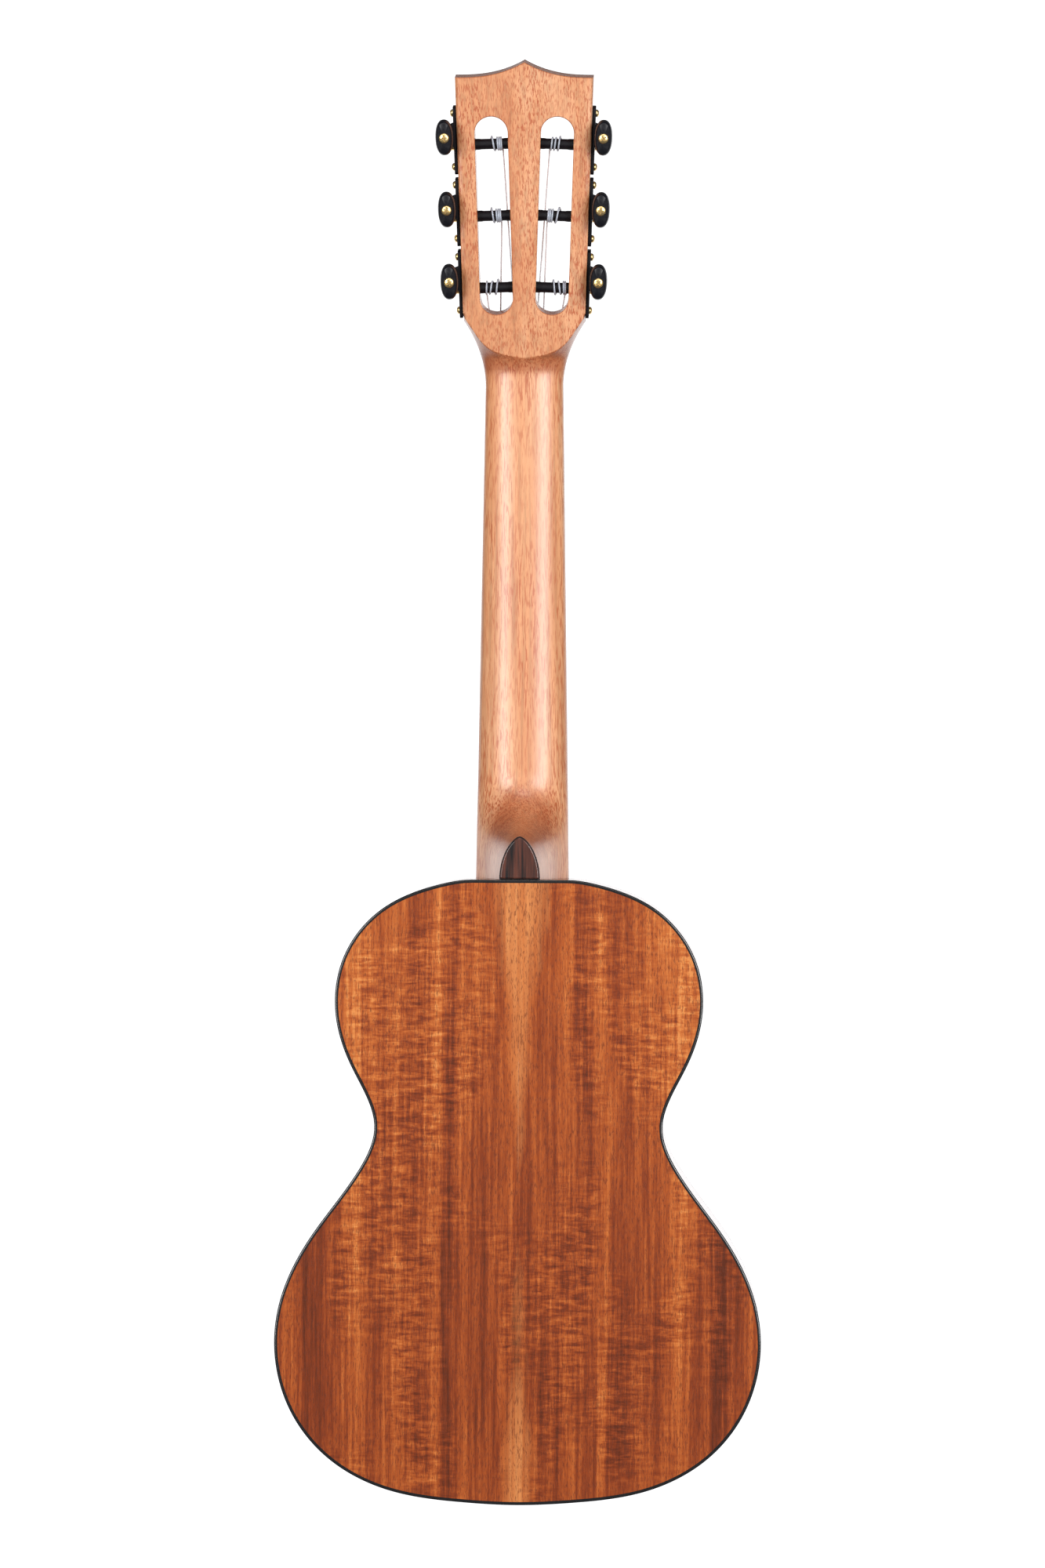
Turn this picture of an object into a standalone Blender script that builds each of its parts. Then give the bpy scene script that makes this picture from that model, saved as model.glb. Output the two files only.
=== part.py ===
"""A six-string tenor ukulele with a slotted head and six open-geared side tuners.

The frame: +Z runs up the neck to the head, +Y points out of the soundboard, and +X is to the right of
someone who looks at the back. The origin is on the centre line, in the plane between the neck and the
fingerboard, at the fingerboard's end of the nut. The soundboard's face lies in the same plane, y = 0.
"""

import math

import bmesh
import bpy
import numpy as np
from mathutils import Matrix, Vector

MM = 0.001
SEAM = 0.1 * MM
CLEARANCE = 0.3 * MM

# Strings and fingerboard. The scale length sets the frets and the bridge.
SCALE_LENGTH = 431.8 * MM
FRETS = 19
BOARD_THICKNESS = 5.0 * MM
BOARD_END = -296.0 * MM
FRET_HEIGHT = 1.0 * MM
FRET_WIDTH = 2.0 * MM
NUT_LENGTH = 5.0 * MM
NUT_TOP = 6.4 * MM
STRING_RADIUS = 0.35 * MM
STRING_OVER_NUT = NUT_TOP + STRING_RADIUS + SEAM
COURSES = {
    # name: (x at the bridge, x at the nut, side of its tuner, tuner counted from the top, x on its post)
    "string_a1": (-20.6 * MM, -15.2 * MM, -1, 3, -18.1 * MM),
    "string_a2": (-17.6 * MM, -11.6 * MM, -1, 2, -10.6 * MM),
    "string_e": (-6.6 * MM, -4.3 * MM, -1, 1, -10.2 * MM),
    "string_c1": (5.2 * MM, 5.0 * MM, 1, 1, 11.9 * MM),
    "string_c2": (8.4 * MM, 8.2 * MM, 1, 2, 10.6 * MM),
    "string_g": (20.6 * MM, 15.2 * MM, 1, 3, 19.6 * MM),
}

# The body: its outline as (half width, distance below its top), which a smooth curve runs through.
BODY_TOP = -249.3 * MM
BODY_LENGTH = 286.0 * MM
HALF_OUTLINE = [
    (22.0, 0.0),
    (36.1, 2.1),
    (63.1, 13.6),
    (80.4, 35.2),
    (84.5, 56.8),
    (77.0, 85.5),
    (66.1, 114.2),
    (74.7, 135.7),
    (95.5, 164.6),
    (109.0, 193.3),
    (111.5, 211.5),
    (104.0, 243.5),
    (86.7, 265.0),
    (59.2, 279.4),
    (25.5, 284.8),
    (0.0, 286.0),
]
OUTLINE_STEPS = 26
DEPTH_AT_NECK = 64.0 * MM
DEPTH_AT_TAIL = 72.0 * MM
BACK_SLOPE = (DEPTH_AT_TAIL - DEPTH_AT_NECK) / BODY_LENGTH
PLATE = 2.2 * MM
SIDE = 2.0 * MM
BINDING_WIDTH = 1.8 * MM
BINDING_HEIGHT = 2.5 * MM
LINING_WIDTH = 5.0 * MM
LINING_HEIGHT = 8.0 * MM
NECK_BLOCK = (27.5 * MM, 25.0 * MM)
TAIL_BLOCK = (22.5 * MM, 12.0 * MM)
SOUNDHOLE_RADIUS = 29.0 * MM
SOUNDHOLE_Z = BODY_TOP - 106.0 * MM
BRACE_WIDTH = 8.0 * MM
BRACE_HEIGHT = 12.0 * MM
BACK_BRACES = {"back_brace_upper": -310 * MM, "back_brace_lower": -460 * MM}
TOP_BRACES = (-312 * MM, -394 * MM)
FAN_BRACE_WIDTH = 6.0 * MM
FAN_BRACE_END = -495 * MM
BRIDGE_PLATE = (30 * MM, 2 * MM, -449 * MM, -424 * MM)

# The neck and its heel.
NUT_HALF_WIDTH = 17.8 * MM
JOINT_BOARD_HALF_WIDTH = 21.65 * MM
NECK_WALL = 2.5 * MM
NECK_DEPTH_AT_NUT = 9.8 * MM
NECK_DEPTH_AT_HEEL = 14.5 * MM
CAP_THICKNESS = 2.2 * MM
CAP_HALF_WIDTH = 9.35 * MM
CAP_HEIGHT = 19.8 * MM
ARCH_POWER = 0.65
HEEL_BLEND = 16.0 * MM
HEEL_FLARE = 26.0 * MM

# The head, which leans back. Head coordinates are (x, height along the head, depth behind its front).
HEAD_TILT = math.radians(10.5)
HEAD_THICKNESS = 15.0 * MM
VENEER = 1.8 * MM
HEAD_FOOT = 8.0 * MM
HEAD_FOOT_HALF_WIDTH = 28.35 * MM
HEAD_CORNER = 120.9 * MM
HEAD_CORNER_HALF_WIDTH = 32.1 * MM
CROWN = 7.1 * MM
CROWN_POWER = 2.6
SIDE_LEAN = math.atan((HEAD_CORNER_HALF_WIDTH - HEAD_FOOT_HALF_WIDTH) / (HEAD_CORNER - HEAD_FOOT))
FLARE_START = -20.0 * MM
FLARE_END = 11.0 * MM
SWELL_START = -20.0 * MM
RIDGE = -7.1 * MM
SLOT_BOTTOM = 10.7 * MM
SLOT_TOP = 102.8 * MM
SLOT_HALF_WIDTH = 7.7 * MM
SLOT_X_AT_BOTTOM = 12.65 * MM
SLOT_X_AT_TOP = 15.6 * MM
RAMP_DEPTH = 2.8 * MM
RAMP_LENGTH = 5.5 * MM
RAMP_HALF_WIDTH = 7.3 * MM

# One tuner, in its own frame: x along the post, y up the head, z out of the head's back.
POST_HEIGHTS = (89.0 * MM, 55.6 * MM, 22.1 * MM)
POST_DEPTH = HEAD_THICKNESS / 2
POST_RADIUS = 2.6 * MM
POST_HOLE_RADIUS = 2.95 * MM
POST_REACH = 27.2 * MM
TUNER_PLATE = (1.6 * MM, 31.5 * MM, 10.8 * MM)
TUNER_PLATE_RISE = 2.4 * MM
PLATE_SCREW_SPACING = 25.0 * MM
PLATE_SCREW_RADIUS = 1.75 * MM
EAR_POSITION = 4.7 * MM
EAR_THICKNESS = 1.3 * MM
EAR_REACH = 9.3 * MM
SHAFT_RADIUS = 1.1 * MM
SHAFT_HOLE_RADIUS = 1.35 * MM
GEAR_TEETH = 14
WORM_PITCH = 1.4765 * MM
WORM_PITCH_RADIUS = 1.71 * MM
WORM_OUTER_RADIUS = 2.05 * MM
WORM_ROOT_RADIUS = 1.2 * MM
WORM_TURNS = 3
GEAR_PITCH_RADIUS = GEAR_TEETH * WORM_PITCH / math.tau
GEAR_OUTER_RADIUS = 3.65 * MM
GEAR_ROOT_RADIUS = 2.75 * MM
GEAR_FACE = 2.8 * MM
WORM_RISE = GEAR_PITCH_RADIUS + WORM_PITCH_RADIUS
WORM_OUT = 5.6 * MM
BUTTON_HALF_WIDTH = 4.1 * MM
BUTTON_HALF_HEIGHT = 8.3 * MM
BUTTON_START = 6.8 * MM
BUTTON_END = 19.0 * MM
END_SCREW_RADIUS = 2.35 * MM

# The bridge.
BRIDGE_HALF_LENGTH = 40.0 * MM
TIE_BLOCK_HALF_LENGTH = 28.0 * MM
SADDLE_TOP = 10.4 * MM
SADDLE_HALF_THICKNESS = 1.2 * MM

HEAD = Matrix.Translation((0, 0, NUT_LENGTH)) @ Matrix.Rotation(math.pi / 2 + HEAD_TILT, 4, "X")


# ---- Shapes ----


def skin(rows, closed=False):
    """A solid whose skin runs through rows of points, each row a closed loop of equal length."""
    bm = bmesh.new()
    loops = [[bm.verts.new(point) for point in row] for row in rows]
    pairs = list(zip(loops, loops[1:]))
    if closed:
        pairs.append((loops[-1], loops[0]))
    for low, high in pairs:
        for i in range(len(low)):
            j = (i + 1) % len(low)
            bm.faces.new((low[i], low[j], high[j], high[i]))
    if not closed:
        bm.faces.new(loops[0])
        bm.faces.new(loops[-1])
    bmesh.ops.recalc_face_normals(bm, faces=bm.faces)
    return bm


def prism(outline, low, high):
    """An outline of (x, z) points, extruded along Y between two surfaces y(z)."""
    return skin([[(x, surface(z), z) for x, z in outline] for surface in (low, high)])


def ribbon(outer, inner, low, high, closed=False):
    """A strip of rectangular section between two paths of (x, z) points and two surfaces y(z)."""
    rows = []
    for (x0, z0), (x1, z1) in zip(outer, inner):
        rows.append([(x0, low(z0), z0), (x0, high(z0), z0), (x1, high(z1), z1), (x1, low(z1), z1)])
    return skin(rows, closed)


def box(low, high):
    """A box between two opposite corners."""
    corners = [(low[0], low[1]), (high[0], low[1]), (high[0], high[1]), (low[0], high[1])]
    return skin([[(x, y, z) for x, y in corners] for z in (low[2], high[2])])


def turned(profile, sides):
    """A solid turned about Z from (radius, z) points."""
    return skin([[(r * x, r * y, z) for x, y in circle(sides)] for r, z in profile])


def circle(sides):
    """Points of a unit circle."""
    angles = [math.tau * i / sides for i in range(sides)]
    return [(math.cos(angle), math.sin(angle)) for angle in angles]


def level(y):
    """A surface at constant y."""
    return lambda z: y


def moved(bm, matrix):
    """The same shape, placed by a matrix."""
    bmesh.ops.transform(bm, matrix=matrix, verts=bm.verts)
    return bm


def joined(shapes):
    """Several shapes that don't touch, in one mesh: a tool for one Boolean."""
    whole = bmesh.new()
    for shape in shapes:
        mesh = bpy.data.meshes.new("shape")
        shape.to_mesh(mesh)
        whole.from_mesh(mesh)
        bpy.data.meshes.remove(mesh)
        shape.free()
    return whole


def combined(bm, tool, operation):
    """The first shape after an exact Boolean with the second."""
    objects = []
    for shape in (bm, tool):
        mesh = bpy.data.meshes.new("operand")
        shape.to_mesh(mesh)
        shape.free()
        objects.append(bpy.data.objects.new("operand", mesh))
        bpy.context.scene.collection.objects.link(objects[-1])
    modifier = objects[0].modifiers.new("Boolean", "BOOLEAN")
    modifier.operation = operation
    modifier.object = objects[1]
    graph = bpy.context.evaluated_depsgraph_get()
    result = bmesh.new()
    result.from_object(objects[0], graph)
    for obj in objects:
        bpy.data.meshes.remove(obj.data)
    return result


# ---- Objects and materials ----


def make_material(name, color, roughness, metallic=0.0):
    """A Principled material."""
    material = bpy.data.materials.new(name)
    material.use_nodes = True
    shader = material.node_tree.nodes["Principled BSDF"]
    shader.inputs["Base Color"].default_value = (*color, 1.0)
    shader.inputs["Roughness"].default_value = roughness
    shader.inputs["Metallic"].default_value = metallic
    return material


def add(name, bm, material, frame=None, parent=None):
    """Adds a shape as a named object, with its origin at the frame that its points are given in."""
    mesh = bpy.data.meshes.new(name)
    bm.to_mesh(mesh)
    bm.free()
    mesh.materials.append(material)
    mesh.shade_smooth()
    mesh.set_sharp_from_angle(angle=math.radians(35))
    obj = bpy.data.objects.new(name, mesh)
    bpy.context.scene.collection.objects.link(obj)
    obj.parent = parent
    if frame is not None:
        obj.matrix_local = frame
    return obj


def add_empty(name, frame):
    """An empty that holds one tuner's frame."""
    empty = bpy.data.objects.new(name, None)
    empty.empty_display_size = 0.01
    bpy.context.scene.collection.objects.link(empty)
    empty.matrix_world = frame
    return empty


# ---- The body ----


def smooth_curve(points, start, end, steps):
    """Points along the cubic spline through the given points, with its directions at both ends."""
    points = np.array(points)
    spans = np.linalg.norm(np.diff(points, axis=0), axis=1)
    along = np.concatenate([[0], np.cumsum(spans)])
    count = len(points)
    system = np.eye(count)
    values = np.zeros((count, 2))
    values[0], values[-1] = start, end
    for i in range(1, count - 1):
        before, after = spans[i - 1], spans[i]
        system[i, i - 1 : i + 2] = after, 2 * (before + after), before
        slope_before = (points[i] - points[i - 1]) / before
        slope_after = (points[i + 1] - points[i]) / after
        values[i] = 3 * (after * slope_before + before * slope_after)
    slopes = np.linalg.solve(system, values)
    curve = []
    for place in np.linspace(0, along[-1], steps + 1):
        i = min(int(np.searchsorted(along, place, side="right")) - 1, count - 2)
        t = (place - along[i]) / spans[i]
        curve.append(
            (2 * t**3 - 3 * t**2 + 1) * points[i]
            + (t**3 - 2 * t**2 + t) * spans[i] * slopes[i]
            + (3 * t**2 - 2 * t**3) * points[i + 1]
            + (t**3 - t**2) * spans[i] * slopes[i + 1]
        )
    return np.array(curve)


def rim(inset, side, middle=0.0):
    """Half of the body's outline, from the neck to the tail, moved inwards by an inset, as (x, z)."""
    curve = smooth_curve(np.array(HALF_OUTLINE) * MM, (1, 0), (-1, 0), OUTLINE_STEPS)
    curve = np.vstack([(0, 0), curve])
    along = np.gradient(curve, axis=0)
    along[0] = along[1] = (1, 0)
    along[-1] = (-1, 0)
    inward = np.column_stack([-along[:, 1], along[:, 0]]) / np.linalg.norm(along, axis=1)[:, None]
    path = curve + inset * inward
    return [(side * max(x, middle), BODY_TOP - below) for x, below in path]


def full_rim(inset):
    """The whole outline of the body as one loop of (x, z) points."""
    return rim(inset, 1) + rim(inset, -1)[-2:0:-1]


def back_face(z):
    """The plane of the back's outer face: the body is deeper at the tail."""
    return -DEPTH_AT_NECK + BACK_SLOPE * (z - BODY_TOP)


def behind(distance):
    """A plane parallel to the back, nearer the soundboard by a distance."""
    return lambda z: back_face(z) + distance


def room_at(z, inset):
    """The half width inside the body at a height."""
    path = rim(inset, 1)
    heights = [point[1] for point in reversed(path)]
    widths = [point[0] for point in reversed(path)]
    return float(np.interp(z, heights, widths))


def make_plates(koa, binding):
    """The two halves of the back, the soundboard with its soundhole, and a binding round each."""
    inset = BINDING_WIDTH + SEAM
    for name, side in (("back_left", -1), ("back_right", 1)):
        add(name, prism(rim(inset, side, SEAM / 2), back_face, behind(PLATE)), koa)
    front = prism(full_rim(inset), level(-PLATE), level(0.0))
    hole = turned([(SOUNDHOLE_RADIUS, -2 * PLATE), (SOUNDHOLE_RADIUS, 2 * PLATE)], 32)
    place = Matrix.Translation((0, 0, SOUNDHOLE_Z)) @ Matrix.Rotation(math.pi / 2, 4, "X")
    add("soundboard", combined(front, moved(hole, place), "DIFFERENCE"), koa)
    outer, inner = full_rim(0.0), full_rim(BINDING_WIDTH)
    add("top_binding", ribbon(outer, inner, level(-BINDING_HEIGHT), level(0.0), True), binding)
    add("back_binding", ribbon(outer, inner, back_face, behind(BINDING_HEIGHT), True), binding)


def make_sides(koa):
    """The two bent sides, which meet at the neck and at the tail."""
    edge = BINDING_HEIGHT + SEAM
    for name, side in (("side_left", -1), ("side_right", 1)):
        outer, inner = rim(0.0, side, SEAM / 2), rim(SIDE, side, SEAM / 2)
        add(name, ribbon(outer, inner, behind(edge), level(-edge)), koa)


def make_blocks(mahogany):
    """The blocks inside the body that hold the neck and join the sides at the tail."""
    gap = PLATE + SEAM
    path = rim(SIDE + SEAM, 1)
    for name, (half_width, depth), direction in (
        ("neck_block", NECK_BLOCK, -1),
        ("tail_block", TAIL_BLOCK, 1),
    ):
        end_path = path[:6] if direction < 0 else path[:-6:-1]
        half = [(half_width * i / 4) for i in range(5)]
        edge = [(x, float(np.interp(x, *zip(*end_path)))) for x in half]
        outline = [(-x, z) for x, z in reversed(edge[1:])] + edge
        outline += [(half_width, edge[0][1] + direction * depth)]
        outline += [(-half_width, edge[0][1] + direction * depth)]
        add(name, prism(outline, behind(gap), level(-gap)), mahogany)


def make_linings(mahogany):
    """The strips that give the plates a glue surface along the sides, between the two blocks."""
    gap = PLATE + SEAM
    for side, label in ((-1, "left"), (1, "right")):
        outer = rim(SIDE + SEAM, side)
        inner = rim(SIDE + SEAM + LINING_WIDTH, side)
        kept = [
            i
            for i, (x, z) in enumerate(inner)
            if abs(x) > (NECK_BLOCK if z > SOUNDHOLE_Z else TAIL_BLOCK)[0] + 2 * CLEARANCE
        ]
        outer, inner = [outer[i] for i in kept], [inner[i] for i in kept]
        front = ribbon(outer, inner, level(-gap - LINING_HEIGHT), level(-gap))
        back = ribbon(outer, inner, behind(gap), behind(gap + LINING_HEIGHT))
        add("top_lining_" + label, front, mahogany)
        add("back_lining_" + label, back, mahogany)


def bar(start, end, half_width, low, high):
    """A straight brace from one (x, z) point to another, between two depths."""
    along = (Vector(end) - Vector(start)).normalized() * half_width
    across = Vector((-along.y, along.x))
    corners = [Vector(start) + across, Vector(start) - across]
    corners += [Vector(end) - across, Vector(end) + across]
    return prism([tuple(corner) for corner in corners], low, high)


def make_braces(spruce):
    """Two braces across the back, the bridge plate, and the glued frame of braces under the soundboard."""
    inset = SIDE + LINING_WIDTH + 2 * CLEARANCE
    base = PLATE + SEAM
    half = BRACE_WIDTH / 2
    for name, z in BACK_BRACES.items():
        reach = min(room_at(z - half, inset), room_at(z + half, inset))
        add(name, bar((-reach, z), (reach, z), half, behind(base), behind(base + BRACE_HEIGHT)), spruce)
    top, bottom = level(-base), level(-base - BRACE_HEIGHT)
    upper, lower = TOP_BRACES
    reach = min(room_at(upper - half, inset), room_at(upper + half, inset))
    frame = bar((-reach, upper), (reach, upper), half, bottom, top)
    reach = min(room_at(lower - half, inset), room_at(lower + half, inset))
    pieces = [bar((-reach, lower), (reach, lower), half, bottom, top)]
    fan_bottom = level(-base - BRACE_HEIGHT / 2)
    thin = FAN_BRACE_WIDTH / 2
    for side in (-1, 1):
        beside_hole = side * 36 * MM
        pieces.append(bar((beside_hole, upper), (beside_hole, lower), thin, fan_bottom, top))
        fan = (side * 38 * MM, lower), (side * 62 * MM, FAN_BRACE_END)
        pieces.append(bar(*fan, thin, fan_bottom, top))
    for piece in pieces:
        frame = combined(frame, piece, "UNION")
    add("top_bracing", frame, spruce)
    half_length, thickness, low, high = BRIDGE_PLATE
    add("bridge_plate", box((-half_length, -base - thickness, low), (half_length, -base, high)), spruce)


# ---- The neck ----


def board_half_width(z):
    """Half the width of the neck and fingerboard, which taper evenly from the body to the nut."""
    return NUT_HALF_WIDTH + (JOINT_BOARD_HALF_WIDTH - NUT_HALF_WIDTH) * z / BODY_TOP


def neck_half_width(z):
    """The neck's half width, which flares out smoothly under the nut to the head's width."""
    if z < FLARE_START:
        return board_half_width(z)
    share = min((z - FLARE_START) / (FLARE_END - FLARE_START), 1.0)
    foot = board_half_width(FLARE_START)
    return foot + (HEAD_FOOT_HALF_WIDTH - foot) * share**2


def head_depth(z):
    """How far behind y = 0 the head's flat back lies at a height."""
    return HEAD_THICKNESS / math.cos(HEAD_TILT) + (z - NUT_LENGTH) * math.tan(HEAD_TILT)


def shaft_depth(x, z):
    """The thickness of the rounded shaft, which swells under the head until the flat back cuts it."""
    middle = NECK_DEPTH_AT_NUT
    if z < 0:
        middle += (NECK_DEPTH_AT_HEEL - NECK_DEPTH_AT_NUT) * min(z / BODY_TOP, 1.0)
    if z > SWELL_START:
        swell = min((z - SWELL_START) / (RIDGE - SWELL_START), 1.0)
        middle += (head_depth(RIDGE) - middle) * swell**2.8
    if z > RIDGE:
        beyond = (z - RIDGE) / MM
        middle += (0.55 * beyond + 0.55 * beyond**1.5) * MM
    share = min(abs(x) / neck_half_width(z), 1.0)
    depth = NECK_WALL + (middle - NECK_WALL) * math.sqrt(1 - share**2)
    return min(depth, head_depth(z)) if z > RIDGE else depth


def arch_half_width(rise, share):
    """Half the heel's width at a rise, from the cap's arch (share 0) to the neck's outline (share 1)."""
    half = CAP_HALF_WIDTH + (JOINT_BOARD_HALF_WIDTH - CAP_HALF_WIDTH) * share**1.8
    height = CAP_HEIGHT + HEEL_FLARE * share**2.2
    left = 1 - (rise / height) ** (2 + 2.5 * share)
    return math.copysign(half * abs(left) ** ARCH_POWER, left)


def heel_depth(x, z):
    """The depth of the heel, which narrows in a hollow sweep from the neck's width to a pointed arch."""
    deepest = -behind(CAP_THICKNESS + SEAM)(z)
    low, high = 0.0, 2.0
    for _ in range(30):
        middle = (low + high) / 2
        if arch_half_width(z - BODY_TOP, middle) < abs(x):
            low = middle
        else:
            high = middle
    return deepest - (deepest - NECK_WALL) * high


def neck_depth(x, z):
    """The depth of the shaft, which runs smoothly into the heel."""
    shaft = shaft_depth(x, z)
    if z > BODY_TOP + 60 * MM:
        return shaft
    heel = heel_depth(x, z)
    share = max(HEEL_BLEND - abs(shaft - heel), 0.0) / HEEL_BLEND
    return max(shaft, heel) + share**2 * HEEL_BLEND / 4


def make_neck(mahogany, ebony):
    """The neck, carved with its heel and head from one piece, and the cap on the end of its heel."""
    heel_rises = [0.1, 5, 10, 14, 17, 19, 21, 23.5, 27, 31, 36, 42, 48, 54]
    heights = [BODY_TOP + rise * MM for rise in heel_rises]
    heights += [z * MM for z in (-130, -60, -20, -14, -10, -7.1, -4, -1, 2, 5, 8, 10.6)]
    shares = [math.sin(math.pi / 16 * i) for i in range(-8, 9)]
    rows = []
    for z in heights:
        half = neck_half_width(z)
        front = -max(z - NUT_LENGTH, 0.0) * math.tan(HEAD_TILT)
        row = []
        for x in [share * half for share in shares]:
            row.append((x, -neck_depth(x, z), z))
        rows.append(row + [(half, front, z), (-half, front, z)])
    for height in (HEAD_FOOT + 5 * MM, HEAD_CORNER + CROWN):
        half = head_half_width(height)
        row = [(share * half, height, HEAD_THICKNESS) for share in shares]
        row += [(half, height, 0.0), (-half, height, 0.0)]
        rows.append([HEAD @ Vector(point) for point in row])
    tools = [moved(tool, HEAD) for tool in head_cutters()]
    for side in (-1, 1):
        for height in POST_HEIGHTS:
            deepest = POST_REACH + 2 * CLEARANCE
            hole = [(POST_HOLE_RADIUS, -5 * CLEARANCE), (POST_HOLE_RADIUS, deepest)]
            inwards = Matrix.Rotation(-side * math.pi / 2, 4, "Y")
            tools.append(moved(turned(hole, 16), tuner_frame(side, height) @ inwards))
    neck = skin(rows)
    for tool in tools:
        neck = combined(neck, tool, "DIFFERENCE")
    add("neck", neck, mahogany)
    arch = [(-x, z) for x, z in cap_arch()[:0:-1]] + cap_arch()
    add("heel_cap", prism(arch, back_face, behind(CAP_THICKNESS)), ebony)


def cap_arch():
    """The right half of the heel cap's pointed arch, from its point down to its base."""
    foot = BODY_TOP + SEAM
    points = []
    for angle in [math.pi / 2 * i / 9 for i in range(10)]:
        x = CAP_HALF_WIDTH * math.sin(angle) ** (2 * ARCH_POWER)
        points.append((x, foot + CAP_HEIGHT * math.cos(angle)))
    return points


# ---- The head, in head coordinates ----


def head_half_width(height):
    """Half the head's width at a height along it: its sides spread evenly."""
    return HEAD_FOOT_HALF_WIDTH + (height - HEAD_FOOT) * math.tan(SIDE_LEAN)


def slot_arc(side, height, top):
    """Half a circle at the top or the bottom of a slot, as (x, height) points."""
    share = (height - SLOT_BOTTOM) / (SLOT_TOP - SLOT_BOTTOM)
    x = side * (SLOT_X_AT_BOTTOM + (SLOT_X_AT_TOP - SLOT_X_AT_BOTTOM) * share)
    start = 0 if top else math.pi
    angles = [start + math.pi * i / 10 for i in range(11)]
    r = SLOT_HALF_WIDTH
    return [(x + r * math.cos(angle), height + r * math.sin(angle)) for angle in angles]


def head_cutters():
    """The two slots, the ramps that let the low strings into them, and the waste above the crown."""
    below, above = -VENEER - 1 * MM, HEAD_THICKNESS + 1 * MM
    tools = []
    for side in (-1, 1):
        low, high = SLOT_BOTTOM + SLOT_HALF_WIDTH, SLOT_TOP - SLOT_HALF_WIDTH
        outline = slot_arc(side, high, True) + slot_arc(side, low, False)
        tools.append(skin([[(x, y, depth) for x, y in outline] for depth in (below, above)]))
        left, right = [side * SLOT_X_AT_BOTTOM + end * RAMP_HALF_WIDTH for end in (-1, 1)]
        deepest = RAMP_DEPTH - VENEER
        ramp = []
        for depth in (below, deepest):
            foot = SLOT_BOTTOM + 1.5 * MM - RAMP_LENGTH / RAMP_DEPTH * (deepest - depth)
            corners = [(left, foot), (right, foot), (right, low), (left, low)]
            ramp.append([(x, y, depth) for x, y in corners])
        tools.append(skin(ramp))
    half = head_half_width(HEAD_CORNER)
    steps = [i / 8 for i in range(-7, 8)]
    crown = [(step * half, HEAD_CORNER + CROWN * (1 - abs(step)) ** CROWN_POWER) for step in steps]
    wide, over = half + 3 * MM, HEAD_CORNER + CROWN + 3 * MM
    outline = [(-wide, HEAD_CORNER), *crown, (wide, HEAD_CORNER), (wide, over), (-wide, over)]
    tools.append(skin([[(x, y, depth) for x, y in outline] for depth in (below, above)]))
    return tools


def make_headplate(rosewood):
    """The veneer on the front of the head."""
    low, high = 0.6 * MM, HEAD_CORNER + CROWN
    middle = FLARE_END - NUT_LENGTH
    outline = [(neck_half_width(NUT_LENGTH + low), low), (neck_half_width(FLARE_END), middle)]
    outline += [(head_half_width(HEAD_FOOT + 5 * MM), HEAD_FOOT + 5 * MM), (head_half_width(high), high)]
    outline += [(-x, y) for x, y in reversed(outline)]
    plate = skin([[(x, y, depth) for x, y in outline] for depth in (-VENEER, -SEAM)])
    for tool in head_cutters():
        plate = combined(plate, tool, "DIFFERENCE")
    add("headplate", moved(plate, HEAD), rosewood)


# ---- The tuners ----


def tuner_frame(side, height):
    """A tuner's frame: its origin is where its post's axis leaves the side of the head."""
    place = Matrix.Translation((side * head_half_width(height), height, POST_DEPTH))
    return HEAD @ place @ Matrix.Rotation(-side * SIDE_LEAN, 4, "Z")


def outwards(side):
    """Turns a shape made about Z so that it points away from the head."""
    return Matrix.Rotation(side * math.pi / 2, 4, "Y")


def tuner_plate(side):
    """The base plate with its two bearing ears, its holes and the heads of its two screws."""
    thick, height, depth = TUNER_PLATE
    bottom, top = TUNER_PLATE_RISE - height / 2, TUNER_PLATE_RISE + height / 2
    near, far = sorted((side * SEAM, side * thick))
    plate = box((near, bottom, -depth / 2), (far, top, depth / 2))
    ears = []
    for z in (-EAR_POSITION, EAR_POSITION):
        rows = []
        for x, half in ((thick / 2, 6 * MM), (EAR_REACH * 0.7, 4.4 * MM), (EAR_REACH, 2.4 * MM)):
            lower, upper = WORM_RISE - half, WORM_RISE + half * 0.9
            low, high = z - EAR_THICKNESS / 2, z + EAR_THICKNESS / 2
            corners = [(lower, low), (upper, low), (upper, high), (lower, high)]
            rows.append([(side * x, y, d) for y, d in corners])
        ears.append(skin(rows))
    plate = combined(plate, joined(ears), "UNION")
    screws = []
    r = PLATE_SCREW_RADIUS
    dome = [(r, thick / 2), (r, thick + 0.8 * MM), (0.6 * r, thick + 1.5 * MM)]
    for y in (-PLATE_SCREW_SPACING / 2, PLATE_SCREW_SPACING / 2):
        place = Matrix.Translation((0, TUNER_PLATE_RISE + y, 0)) @ outwards(side)
        screws.append(moved(turned(dome, 12), place))
    plate = combined(plate, joined(screws), "UNION")
    post_hole = turned([(POST_HOLE_RADIUS, -1 * MM), (POST_HOLE_RADIUS, 3 * MM)], 16)
    plate = combined(plate, moved(post_hole, outwards(side)), "DIFFERENCE")
    reach = EAR_POSITION + 2 * MM
    shaft_hole = turned([(SHAFT_HOLE_RADIUS, -reach), (SHAFT_HOLE_RADIUS, reach)], 12)
    place = Matrix.Translation((side * WORM_OUT, WORM_RISE, 0))
    return combined(plate, moved(shaft_hole, place), "DIFFERENCE")


def thread(phase):
    """The height of the worm's thread, from 0 at its root to 1 on its crest, along one turn."""
    distance = abs((phase + 0.5) % 1.0 - 0.5)
    return min(max((0.30 - distance) / 0.16, 0.0), 1.0)


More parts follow.
